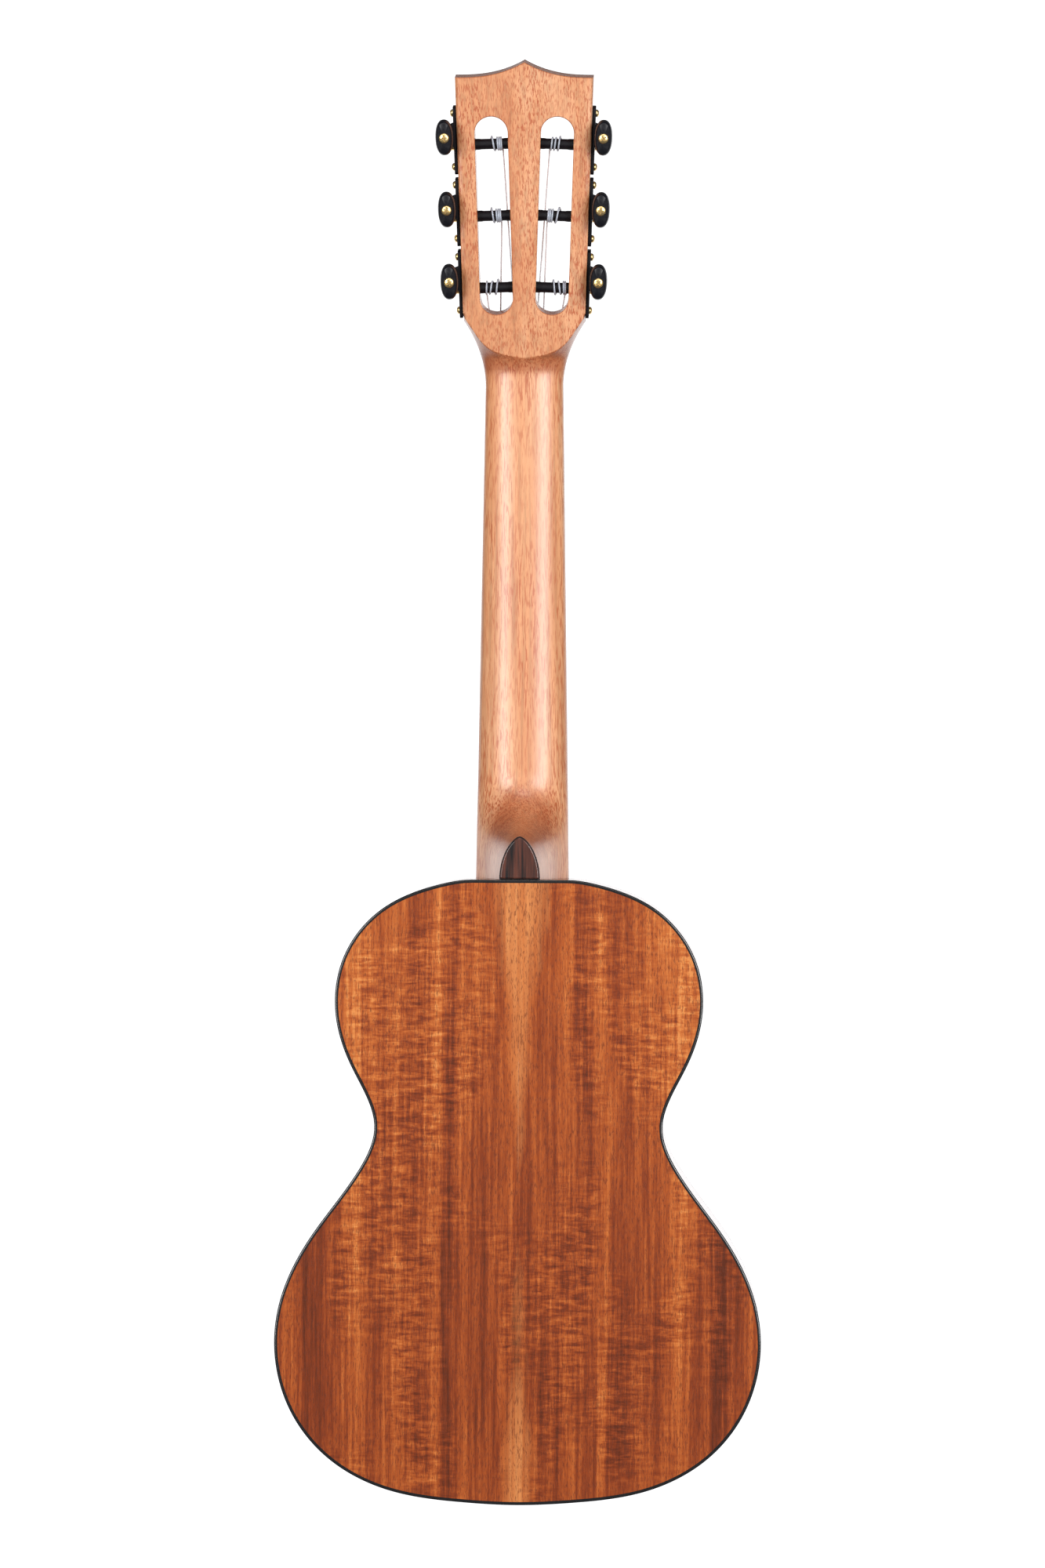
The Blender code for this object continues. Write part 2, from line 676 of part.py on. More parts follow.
def worm_shaft():
    """The worm on its shaft, which carries the button, with the screw in the end of the shaft."""
    sides, steps = 10, 6 * WORM_TURNS
    length = WORM_TURNS * WORM_PITCH
    rows = [(-6.0 * MM, SHAFT_RADIUS), (-length / 2 - 0.3 * MM, SHAFT_RADIUS)]
    rows = [[(r * x, r * y, z) for x, y in circle(sides)] for z, r in rows]
    for step in range(steps + 1):
        z = length * (step / steps - 0.5)
        row = []
        for i, (x, y) in enumerate(circle(sides)):
            turn = i / sides + 0.25
            crest = thread(z / WORM_PITCH - turn) if 0 < step < steps else 0.0
            r = WORM_ROOT_RADIUS + (WORM_OUTER_RADIUS - WORM_ROOT_RADIUS) * crest
            row.append((r * x, r * y, z))
        rows.append(row)
    end = BUTTON_END + SEAM
    tail = [(length / 2 + 0.3 * MM, SHAFT_RADIUS), (end, SHAFT_RADIUS), (end, END_SCREW_RADIUS)]
    tail += [(end + 0.5 * MM, END_SCREW_RADIUS), (end + 1.0 * MM, 1.5 * MM)]
    rows += [[(r * x, r * y, z) for x, y in circle(sides)] for z, r in tail]
    return skin(rows)


def button():
    """The oval button, with a hole for its shaft."""
    stations = [(0.0, 0.55), (0.12, 0.78), (0.45, 1.0), (0.75, 1.0), (0.93, 0.9), (1.0, 0.72)]
    rows = []
    for share, swell in stations:
        z = BUTTON_START + (BUTTON_END - BUTTON_START) * share
        half_width, half_height = swell * BUTTON_HALF_WIDTH, swell * BUTTON_HALF_HEIGHT
        rows.append([(half_width * x, half_height * y, z) for x, y in circle(14)])
    for z in (BUTTON_END, BUTTON_START):
        rows.append([(SHAFT_HOLE_RADIUS * x, SHAFT_HOLE_RADIUS * y, z) for x, y in circle(14)])
    return skin(rows, closed=True)


def post(side):
    """The roller that the string winds on, from the middle of the head out through the plate."""
    profile = [(POST_RADIUS, -POST_REACH), (POST_RADIUS, TUNER_PLATE[0])]
    return moved(turned(profile, 16), outwards(side))


def gear(side):
    """The gear on the end of the post, whose slanted teeth mesh with the worm, with its hub and screw."""
    pitch = math.tau / GEAR_TEETH
    outline = []
    for tooth in range(GEAR_TEETH):
        for offset, radius in (
            (-0.27, GEAR_ROOT_RADIUS),
            (-0.13, GEAR_OUTER_RADIUS),
            (0.13, GEAR_OUTER_RADIUS),
            (0.27, GEAR_ROOT_RADIUS),
        ):
            outline.append((radius, (tooth + 0.5 + offset) * pitch))
    slant = WORM_PITCH / (math.tau * WORM_PITCH_RADIUS) / GEAR_PITCH_RADIUS
    rows = []
    for x in (-GEAR_FACE / 2, GEAR_FACE / 2):
        turned_outline = [(r, angle + slant * x) for r, angle in outline]
        rows.append([(side * WORM_OUT + x, r * math.cos(a), r * math.sin(a)) for r, a in turned_outline])
    inner, outer = WORM_OUT - GEAR_FACE / 2, WORM_OUT + GEAR_FACE / 2
    hub = turned([(2.4 * MM, TUNER_PLATE[0] + SEAM), (2.4 * MM, inner + 0.2 * MM)], 12)
    dome = [(1.7 * MM, outer - 0.2 * MM), (1.7 * MM, outer + 0.6 * MM), (1.0 * MM, outer + 1.1 * MM)]
    screw = turned(dome, 12)
    return combined(skin(rows), moved(joined([hub, screw]), outwards(side)), "UNION")


def make_tuners(black, brass, plastic):
    """Six tuners, three on each side. The worm turns about its own axis, and the gear about its post's."""
    for side, label in ((-1, "left"), (1, "right")):
        for number, height in enumerate(POST_HEIGHTS, 1):
            frame = tuner_frame(side, height)
            name = f"{label}_{number}"
            roller = add_empty("roller_axis_" + name, frame)
            worm_place = frame @ Matrix.Translation((side * WORM_OUT, WORM_RISE, 0))
            knob = add_empty("knob_axis_" + name, worm_place)
            add("plate_" + name, tuner_plate(side), black, frame)
            add("post_" + name, post(side), black, None, roller)
            add("gear_" + name, gear(side), brass, None, roller)
            add("worm_" + name, worm_shaft(), brass, None, knob)
            add("button_" + name, button(), plastic, None, knob)


# ---- The front: fingerboard, nut, bridge and strings ----


def make_fingerboard(rosewood, bone):
    """The nut and the fingerboard. Each fret shortens the string by a twelfth root of two."""
    profile = [(-SEAM, SEAM), (-SEAM, BOARD_THICKNESS)]
    for fret in range(1, FRETS + 1):
        z = -SCALE_LENGTH * (1 - 2 ** (-fret / 12))
        half, top = FRET_WIDTH / 2, BOARD_THICKNESS + FRET_HEIGHT
        profile += [(z + half, BOARD_THICKNESS), (z + half / 2, top)]
        profile += [(z - half / 2, top), (z - half, BOARD_THICKNESS)]
    profile += [(BOARD_END, BOARD_THICKNESS), (BOARD_END, SEAM)]
    rows = [[(side * board_half_width(z), y, z) for z, y in profile] for side in (-1, 1)]
    add("fingerboard", skin(rows), rosewood)
    half = NUT_HALF_WIDTH
    add("nut", box((-half, SEAM, 0), (half, NUT_TOP, NUT_LENGTH)), bone)


def make_bridge(rosewood, bone):
    """The tie bridge, lower at its wings, and the saddle that stands in its groove."""
    saddle_z = -SCALE_LENGTH
    front, back = saddle_z + 6 * MM, saddle_z - 15 * MM
    half = BRIDGE_HALF_LENGTH
    wings = box((-half, SEAM, back), (half, 4.5 * MM, front))
    groove = SADDLE_HALF_THICKNESS + SEAM
    profile = [
        (front - 0.5 * MM, 2 * MM),
        (front - 0.5 * MM, 7.5 * MM),
        (saddle_z + groove, 7.5 * MM),
        (saddle_z + groove, 3.5 * MM),
        (saddle_z - groove, 3.5 * MM),
        (saddle_z - groove, 7.5 * MM),
        (saddle_z - 4 * MM, 7.5 * MM),
        (saddle_z - 5 * MM, 4.6 * MM),
        (saddle_z - 8 * MM, 4.6 * MM),
        (saddle_z - 8.5 * MM, 8.0 * MM),
        (back + 0.5 * MM, 8.0 * MM),
        (back + 0.5 * MM, 2 * MM),
    ]
    inner = TIE_BLOCK_HALF_LENGTH
    block = skin([[(x, y, z) for z, y in profile] for x in (-inner, inner)])
    end = inner - 1 * MM
    slot = box((-end, 3.5 * MM, saddle_z - groove), (end, 9 * MM, saddle_z + groove))
    bridge = combined(combined(wings, block, "UNION"), slot, "DIFFERENCE")
    add("bridge", bridge, rosewood)
    reach, thick = inner - 1.2 * MM, SADDLE_HALF_THICKNESS
    saddle = box((-reach, 3.6 * MM, saddle_z - thick), (reach, SADDLE_TOP, saddle_z + thick))
    add("saddle", saddle, bone)


def string_end(x, start, side, number):
    """Where a string stops, just short of the front of its post, in world coordinates."""
    first = HEAD.inverted() @ Vector(start)
    middle = tuner_frame(side, POST_HEIGHTS[number - 1]) @ Vector((-side * 15 * MM, 0, 0))
    centre = HEAD.inverted() @ middle
    along, down = centre.y - first.y, centre.z - first.z
    distance = math.hypot(along, down)
    reach = POST_RADIUS + STRING_RADIUS + SEAM
    angle = math.atan2(down, along) - math.asin(reach / distance)
    length = math.sqrt(distance**2 - reach**2) - 2 * MM
    return HEAD @ Vector((x, first.y + length * math.cos(angle), first.z + length * math.sin(angle)))


def make_strings(nylon):
    """The six strings, from the tie block over the saddle and the nut to the posts."""
    over_saddle = SADDLE_TOP + STRING_RADIUS + SEAM
    for name, (bridge_x, nut_x, side, number, post_x) in COURSES.items():
        start = (nut_x, STRING_OVER_NUT, NUT_LENGTH + CLEARANCE)
        points = [
            (bridge_x, 5.6 * MM, -SCALE_LENGTH - 7.4 * MM),
            (bridge_x, over_saddle - 0.15 * MM, -SCALE_LENGTH - SADDLE_HALF_THICKNESS - 0.2 * MM),
            (bridge_x, over_saddle, -SCALE_LENGTH + SADDLE_HALF_THICKNESS),
            (nut_x, STRING_OVER_NUT, 0),
            start,
            string_end(post_x, start, side, number),
        ]
        curve = bpy.data.curves.new(name, "CURVE")
        curve.dimensions = "3D"
        curve.bevel_depth = STRING_RADIUS
        curve.bevel_resolution = 2
        curve.use_fill_caps = True
        spline = curve.splines.new("POLY")
        spline.points.add(len(points) - 1)
        for place, point in zip(spline.points, points):
            place.co = (*point, 1)
        curve.materials.append(nylon)
        bpy.context.scene.collection.objects.link(bpy.data.objects.new(name, curve))


def main():
    for obj in list(bpy.data.objects):
        bpy.data.objects.remove(obj)
    koa = make_material("koa", (0.36, 0.14, 0.05), 0.2)
    mahogany = make_material("mahogany", (0.68, 0.33, 0.17), 0.4)
    spruce = make_material("spruce", (0.75, 0.58, 0.36), 0.6)
    ebony = make_material("ebony", (0.09, 0.045, 0.035), 0.35)
    rosewood = make_material("rosewood", (0.10, 0.05, 0.03), 0.45)
    black_plastic = make_material("black_binding", (0.012, 0.012, 0.012), 0.3)
    bone = make_material("bone", (0.86, 0.82, 0.70), 0.35)
    nylon = make_material("nylon", (0.55, 0.53, 0.50), 0.3)
    black_metal = make_material("black_metal", (0.02, 0.02, 0.022), 0.3, 1.0)
    brass = make_material("brass", (0.78, 0.55, 0.24), 0.3, 1.0)
    black_button = make_material("black_button", (0.01, 0.01, 0.011), 0.15)
    make_plates(koa, black_plastic)
    make_sides(koa)
    make_blocks(mahogany)
    make_linings(mahogany)
    make_braces(spruce)
    make_neck(mahogany, ebony)
    make_headplate(rosewood)
    make_tuners(black_metal, brass, black_button)
    make_fingerboard(rosewood, bone)
    make_bridge(rosewood, bone)
    make_strings(nylon)


main()
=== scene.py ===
"""The looks of the tenor ukulele: its woods, its hardware and its strings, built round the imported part.

Lengths are in metres, in the part's frame: +Z up the neck, +Y out of the soundboard, the back faces -Y.
"""

from math import acos, atan, atan2, copysign, cos, hypot, pi, radians, sin, tan, tau

import bmesh
import bpy
import numpy as np
from mathutils import Matrix, Vector


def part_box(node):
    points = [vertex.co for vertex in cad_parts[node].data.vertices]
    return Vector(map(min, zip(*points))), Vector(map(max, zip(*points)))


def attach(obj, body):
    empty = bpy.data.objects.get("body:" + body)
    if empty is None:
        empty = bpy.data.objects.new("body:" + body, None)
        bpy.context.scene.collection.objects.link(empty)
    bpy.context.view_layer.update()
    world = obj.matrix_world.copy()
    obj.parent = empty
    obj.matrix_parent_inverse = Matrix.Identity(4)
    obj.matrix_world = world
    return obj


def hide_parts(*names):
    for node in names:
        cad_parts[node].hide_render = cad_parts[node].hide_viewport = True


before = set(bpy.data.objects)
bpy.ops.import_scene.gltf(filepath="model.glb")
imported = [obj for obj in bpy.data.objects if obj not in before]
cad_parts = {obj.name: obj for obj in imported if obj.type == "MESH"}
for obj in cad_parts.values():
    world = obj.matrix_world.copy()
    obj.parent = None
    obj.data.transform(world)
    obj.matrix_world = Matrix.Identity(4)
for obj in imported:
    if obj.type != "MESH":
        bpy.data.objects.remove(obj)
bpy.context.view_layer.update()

MM = 0.001
ROOT = "ukulele"

# The body. Its top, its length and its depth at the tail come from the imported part.
SIDE_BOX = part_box("side_right")
BODY_TOP = SIDE_BOX[1].z
BODY_LENGTH = SIDE_BOX[1].z - SIDE_BOX[0].z
BACK_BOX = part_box("back_binding")
DEPTH_AT_TAIL = -BACK_BOX[0].y
DEPTH_AT_NECK = 64.0 * MM
BACK_SLOPE = (DEPTH_AT_TAIL - DEPTH_AT_NECK) / BODY_LENGTH
PLATE = 2.2 * MM
SIDE = 2.0 * MM
BINDING_WIDTH = 1.5 * MM
BINDING_HEIGHT = 2.5 * MM
SOUNDHOLE_RADIUS = 29.0 * MM
SOUNDHOLE_Z = BODY_TOP - 106.0 * MM
OUTLINE_STEPS = 150
# The body's outline as (half width, distance below its top) in millimetres.
HALF_OUTLINE = [
    (22.0, 0.0), (36.1, 2.1), (63.1, 13.6), (80.4, 35.2),
    (84.5, 56.8), (77.0, 85.5), (66.1, 114.2), (74.7, 135.7),
    (95.5, 164.6), (109.0, 193.3), (111.5, 211.5), (104.0, 243.5),
    (86.7, 265.0), (59.2, 279.4), (25.5, 284.8), (0.0, 286.0),
]

# The neck, its heel and the head.
NUT_LENGTH = 5.0 * MM
NUT_HALF_WIDTH = 17.8 * MM
JOINT_BOARD_HALF_WIDTH = 21.65 * MM
NECK_WALL = 2.5 * MM
NECK_DEPTH_AT_NUT = 9.8 * MM
NECK_DEPTH_AT_HEEL = 14.5 * MM
CAP_THICKNESS = 2.2 * MM
CAP_HALF_WIDTH = 9.35 * MM
CAP_HEIGHT = 19.8 * MM
ARCH_POWER = 0.65
HEEL_BLEND = 16.0 * MM
HEEL_FLARE = 26.0 * MM
HEAD_TILT = radians(10.5)
HEAD_THICKNESS = 15.0 * MM
VENEER = 1.8 * MM
HEAD_FOOT = 8.0 * MM
HEAD_FOOT_HALF_WIDTH = 28.35 * MM
HEAD_CORNER = 120.9 * MM
HEAD_CORNER_HALF_WIDTH = 32.1 * MM
CROWN = 7.1 * MM
CROWN_POWER = 2.6
SIDE_LEAN = atan((HEAD_CORNER_HALF_WIDTH - HEAD_FOOT_HALF_WIDTH) / (HEAD_CORNER - HEAD_FOOT))
FLARE_START = -20.0 * MM
FLARE_END = 11.0 * MM
SWELL_START = -20.0 * MM
RIDGE = -7.1 * MM
SLOT_BOTTOM = 10.7 * MM
SLOT_TOP = 102.8 * MM
SLOT_HALF_WIDTH = 7.7 * MM
SLOT_X_AT_BOTTOM = 12.65 * MM
SLOT_X_AT_TOP = 15.6 * MM
LIP = 0.35 * MM

# One tuner, in its own frame: x along the post, y up the head, z out of the head's back.
POST_HEIGHTS = (89.0 * MM, 55.6 * MM, 22.1 * MM)
POST_DEPTH = HEAD_THICKNESS / 2
POST_RADIUS = 2.6 * MM
POST_HOLE_RADIUS = 2.95 * MM
POST_REACH = 27.2 * MM
PLATE_SIZE = (1.6 * MM, 31.5 * MM, 10.8 * MM)
PLATE_RISE = 2.4 * MM
SCREW_SPACING = 25.0 * MM
EAR_POSITION = 4.7 * MM
EAR_THICKNESS = 1.3 * MM
EAR_REACH = 9.3 * MM
SHAFT_RADIUS = 1.1 * MM
GEAR_TEETH = 14
WORM_PITCH = 1.4765 * MM
WORM_PITCH_RADIUS = 1.71 * MM
WORM_OUTER_RADIUS = 2.05 * MM
WORM_ROOT_RADIUS = 1.2 * MM
WORM_TURNS = 3
GEAR_PITCH_RADIUS = GEAR_TEETH * WORM_PITCH / tau
GEAR_OUTER_RADIUS = 3.65 * MM
GEAR_ROOT_RADIUS = 2.75 * MM
GEAR_FACE = 2.8 * MM
WORM_RISE = GEAR_PITCH_RADIUS + WORM_PITCH_RADIUS
WORM_OUT = 5.6 * MM
BUTTON_START = 6.8 * MM
BUTTON_END = 19.0 * MM
TUNERS = [(side, label, number) for side, label in ((-1, "left"), (1, "right")) for number in (1, 2, 3)]

# Strings, fingerboard and bridge.
SCALE_LENGTH = 431.8 * MM
FRETS = 19
BOARD_TOP = 5.0 * MM
BOARD_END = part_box("fingerboard")[0].z
STRING_RADIUS = 0.35 * MM
STRING_OVER_NUT = 6.85 * MM
STRING_OVER_SADDLE = 10.85 * MM
COURSES = {
    # name: (x at the bridge, x at the nut, side of its tuner, tuner counted from the top, x on its post)
    "string_a1": (-20.6 * MM, -15.2 * MM, -1, 3, -18.1 * MM),
    "string_a2": (-17.6 * MM, -11.6 * MM, -1, 2, -10.6 * MM),
    "string_e": (-6.6 * MM, -4.3 * MM, -1, 1, -10.2 * MM),
    "string_c1": (5.2 * MM, 5.0 * MM, 1, 1, 11.9 * MM),
    "string_c2": (8.4 * MM, 8.2 * MM, 1, 2, 10.6 * MM),
    "string_g": (20.6 * MM, 15.2 * MM, 1, 3, 19.6 * MM),
}

WINDING_RADIUS = 0.42 * MM
WINDINGS = {
    # name: (how far each turn moves along the post in mm, which way, how far the last turn stands off in mm)
    "string_a1": ((0.9, 2.9, 2.6), 1, 0.9),
    "string_a2": ((0.85, 0.85, 1.0, 2.4), -1, 0.8),
    "string_e": ((0.85, 0.85, 0.95, 2.9), -1, 0.6),
    "string_c1": ((1.4, 1.7, 1.9), 1, 0.7),
    "string_c2": ((0.85, 0.85, 1.1, 3.4), 1, 1.2),
    "string_g": ((0.85, 0.85, 2.7, 2.2), -1, 0.7),
}

HEAD = Matrix.Translation((0, 0, NUT_LENGTH)) @ Matrix.Rotation(pi / 2 + HEAD_TILT, 4, "X")


# ---- Camera, lights and backdrop ----

CAMERA_DISTANCE = 3.3
CAMERA_HEIGHT = -205.4 * MM
CAMERA_X = -0.2 * MM
CAMERA_YAW = radians(1.25)
CAMERA_ROLL = radians(0.24)
FIELD_HEIGHT = 733 * MM
BACKDROP_Y = 6.0
BACKDROP_SIZE = 24.0
BACKDROP_TOP = 1.65


def make_camera():
    data = bpy.data.cameras.new("camera")
    data.sensor_fit = "VERTICAL"
    data.angle_y = 2 * atan(FIELD_HEIGHT / 2 / CAMERA_DISTANCE)
    camera = bpy.data.objects.new("camera", data)
    bpy.context.scene.collection.objects.link(camera)
    place = Matrix.Translation((CAMERA_X, -CAMERA_DISTANCE, CAMERA_HEIGHT))
    upright = Matrix.Rotation(pi / 2, 4, "X") @ Matrix.Rotation(CAMERA_ROLL, 4, "Z")
    camera.matrix_world = Matrix.Rotation(CAMERA_YAW, 4, "Z") @ place @ upright
    bpy.context.scene.camera = camera


def make_light(name, place, target, size, energy):
    data = bpy.data.lights.new(name, "AREA")
    data.shape = "RECTANGLE"
    data.size, data.size_y = size
    data.energy = energy
    light = bpy.data.objects.new(name, data)
    light.location = place
    light.rotation_euler = (Vector(target) - Vector(place)).to_track_quat("-Z", "Y").to_euler()
    bpy.context.scene.collection.objects.link(light)


def make_studio():
    """A bright white backdrop far behind, dim surroundings, and three soft boxes beside the camera."""
    scene = bpy.context.scene
    world = bpy.data.worlds.new("studio")
    scene.world = world
    world.use_nodes = True
    background = world.node_tree.nodes["Background"]
    background.inputs["Color"].default_value = (0.93, 0.95, 1.0, 1)
    background.inputs["Strength"].default_value = 0.13
    scene.view_settings.view_transform = "Standard"
    middle = (0, 0, -0.2)
    make_light("left_box", (-1.08, -1.98, 0.15), middle, (0.55, 1.3), 28)
    make_light("right_box", (1.08, -1.98, 0.15), middle, (0.75, 1.3), 36)
    make_light("top_box", (0.1, -1.9, 1.7), middle, (1.6, 0.8), 12)
    mesh = bpy.data.meshes.new("backdrop")
    half = BACKDROP_SIZE / 2
    places = ((-half, -half), (half, -half), (half, BACKDROP_TOP), (-half, BACKDROP_TOP))
    corners = [(x, BACKDROP_Y, z) for x, z in places]
    mesh.from_pydata(corners, [], [(0, 1, 2, 3)])
    backdrop = bpy.data.objects.new("backdrop", mesh)
    scene.collection.objects.link(backdrop)
    mesh.materials.append(make_backdrop_material())


# ---- Shader helpers ----


class Shader:
    """A short way to build a node material."""

    def __init__(self, name):
        self.material = bpy.data.materials.new(name)
        self.material.use_nodes = True
        self.tree = self.material.node_tree
        self.surface = self.tree.nodes["Principled BSDF"]

    def node(self, kind, inputs=None, **settings):
        node = self.tree.nodes.new(kind)
        for key, value in settings.items():
            setattr(node, key, value)
        for key, value in (inputs or {}).items():
            self.put(node.inputs[key], value)
        return node

    def put(self, socket, value):
        if isinstance(value, bpy.types.NodeSocket):
            self.tree.links.new(value, socket)
        else:
            socket.default_value = value

    def set(self, **values):
        for key, value in values.items():
            self.put(self.surface.inputs[key.replace("_", " ")], value)

    def place(self, scale=(1, 1, 1)):
        """Object coordinates, scaled."""
        coordinates = self.node("ShaderNodeTexCoord").outputs["Object"]
        return self.node("ShaderNodeMapping", {"Vector": coordinates, "Scale": scale}).outputs["Vector"]

    def noise(self, vector, scale, detail=4.0, roughness=0.5, distortion=0.0):
        inputs = {"Vector": vector, "Scale": scale, "Detail": detail}
        inputs.update({"Roughness": roughness, "Distortion": distortion})
        return self.node("ShaderNodeTexNoise", inputs).outputs["Fac"]

    def ramp(self, value, stops):
        """Colours or grey levels along a value: stops are (place, colour or level)."""
        node = self.node("ShaderNodeValToRGB", {"Fac": value})
        elements = node.color_ramp.elements
        while len(elements) < len(stops):
            elements.new(0.5)
        for element, (place, color) in zip(elements, stops):
            element.position = place
            element.color = (*color, 1) if isinstance(color, tuple) else (color, color, color, 1)
        return node.outputs["Color"]

    def math(self, operation, first, second=0.0, clamp=False):
        node = self.node("ShaderNodeMath", operation=operation, use_clamp=clamp)
        self.put(node.inputs[0], first)
        self.put(node.inputs[1], second)
        return node.outputs[0]

    def plus(self, first, second, clamp=False):
        return self.math("ADD", first, second, clamp)

    def minus(self, first, second):
        return self.math("SUBTRACT", first, second)

    def times(self, first, second, clamp=False):
        return self.math("MULTIPLY", first, second, clamp)

    def mix(self, first, second, share, blend="MIX"):
        node = self.node("ShaderNodeMix", data_type="RGBA", blend_type=blend)
        self.put(node.inputs[0], share)
        self.put(node.inputs[6], (*first, 1) if isinstance(first, tuple) else first)
        self.put(node.inputs[7], (*second, 1) if isinstance(second, tuple) else second)
        return node.outputs[2]

    def bump(self, height, distance, strength=1.0):
        inputs = {"Height": height, "Distance": distance, "Strength": strength}
        self.put(self.surface.inputs["Normal"], self.node("ShaderNodeBump", inputs).outputs["Normal"])

    def split(self, kind="Object"):
        """X, Y and Z of one kind of texture coordinates."""
        coordinates = self.node("ShaderNodeTexCoord").outputs[kind]
        return self.node("ShaderNodeSeparateXYZ", {"Vector": coordinates}).outputs


def srgb(red, green, blue):
    """A colour given by its 0-255 display levels, in linear light."""
    levels = [level / 255 for level in (red, green, blue)]
    return tuple(((v + 0.055) / 1.055) ** 2.4 if v > 0.04045 else v / 12.92 for v in levels)


def make_backdrop_material():
    """A lit white screen, a little uneven."""
    shader = Shader("white_screen")
    cloth = shader.noise(shader.place(), 0.7)
    shader.set(Base_Color=(0.8, 0.8, 0.8, 1), Roughness=0.9, Emission_Strength=1.05)
    shader.set(Emission_Color=shader.ramp(cloth, [(0.3, (0.99, 0.99, 1.0)), (0.7, (1.0, 1.0, 1.0))]))
    return shader.material


# ---- Materials ----


def koa_material(name, mirrored=True, coat=0.25):
    """Book-matched koa: stripes along the grain, curl across it, pores, and a gloss coat."""
    shader = Shader(name)
    parts = shader.split()
    across = shader.math("ABSOLUTE", parts["X"]) if mirrored else parts["Y"]
    folded = shader.node("ShaderNodeCombineXYZ", {"X": across, "Y": parts["Y"], "Z": parts["Z"]}).outputs[0]

    def stretched(x, y, z, detail):
        vector = shader.node("ShaderNodeMapping", {"Vector": folded, "Scale": (x, y, z)}).outputs["Vector"]
        return shader.noise(vector, 1.0, detail, 0.55)

    def weighed(value, weight):
        return shader.times(shader.minus(value, 0.5), weight)

    def fine(x, y, z, detail=3.0):
        return shader.noise(shader.place((x, y, z)), 1.0, detail, 0.6, 0.3)

    wander = shader.plus(across, weighed(stretched(12, 12, 7, 3.0), 0.02))
    place = shader.times(wander, 1 / 0.115)
    bands = [0.56, 0.54, 0.62, 0.38, 0.60, 0.42, 0.66, 0.50, 0.70, 0.58, 0.44, 0.60, 0.48]
    places = [0.0, 0.12, 0.21, 0.27, 0.33, 0.41, 0.49, 0.56, 0.65, 0.73, 0.80, 0.90, 1.0]
    tone = shader.ramp(place, list(zip(places, bands)))
    tone = shader.plus(tone, weighed(stretched(60, 20, 2.4, 4.0), 0.5))
    for x, z, weight in ((210, 5.0, 0.6), (700, 16.0, 0.75), (1500, 190.0, 0.45)):
        tone = shader.plus(tone, weighed(fine(x, 20, z), weight))
    amount = shader.ramp(fine(26, 10, 10, 2.0), [(0.44, 0.0), (0.6, 1.0)])
    curl = shader.times(weighed(fine(120, 20, 520), 1.25), amount)
    tone = shader.plus(tone, curl)
    below = shader.times(shader.minus(BODY_TOP, parts["Z"]), 1 / BODY_LENGTH, True)
    shade = shader.ramp(below, [(0.0, 0.55), (0.3, 0.51), (0.6, 0.40), (0.85, 0.40), (1.0, 0.46)])
    tone = shader.plus(tone, weighed(shade, 1.0))
    browns = [(0.12, srgb(88, 34, 8)), (0.38, srgb(132, 54, 17)), (0.58, srgb(166, 78, 28))]
    browns += [(0.80, srgb(196, 106, 46)), (0.98, srgb(220, 138, 72))]
    color = shader.ramp(tone, browns)
    if mirrored:
        streaks = shader.ramp(fine(500, 20, 8.0), [(0.35, srgb(196, 112, 56)), (0.65, srgb(226, 150, 88))])
        color = shader.mix(color, streaks, blond_streak(shader, across, below))
    pores = shader.ramp(fine(2100, 600, 330, 2.0), [(0.38, 0.0), (0.46, 1.0)])
    color = shader.mix(srgb(98, 40, 16), color, shader.plus(shader.times(pores, 0.6), 0.4))
    shader.set(Base_Color=color, Roughness=0.4, Coat_Weight=coat, Coat_Roughness=0.08)
    shader.set(Specular_IOR_Level=0.2)
    shader.bump(pores, 0.00004, 0.3)
    return shader.material


def blond_streak(shader, across, below):
    """How pale the wood is beside the centre seam: a wedge under the neck and a streak at the tail."""
    wander = shader.noise(shader.place((90, 20, 22)), 1.0, 3.0)
    distance = shader.plus(across, shader.times(shader.minus(wander, 0.5), 0.016))
    stops = [(0.0, 0.5), (0.12, 0.34), (0.2, 0.16), (0.36, 0.05)]
    stops += [(0.45, 0.0), (0.62, 0.0), (0.8, 0.14), (1.0, 0.3)]
    width = shader.times(shader.ramp(below, stops), 0.024)
    inside = shader.times(shader.minus(width, distance), 1 / 0.007)
    return shader.times(shader.plus(inside, 0.3, True), 0.72)


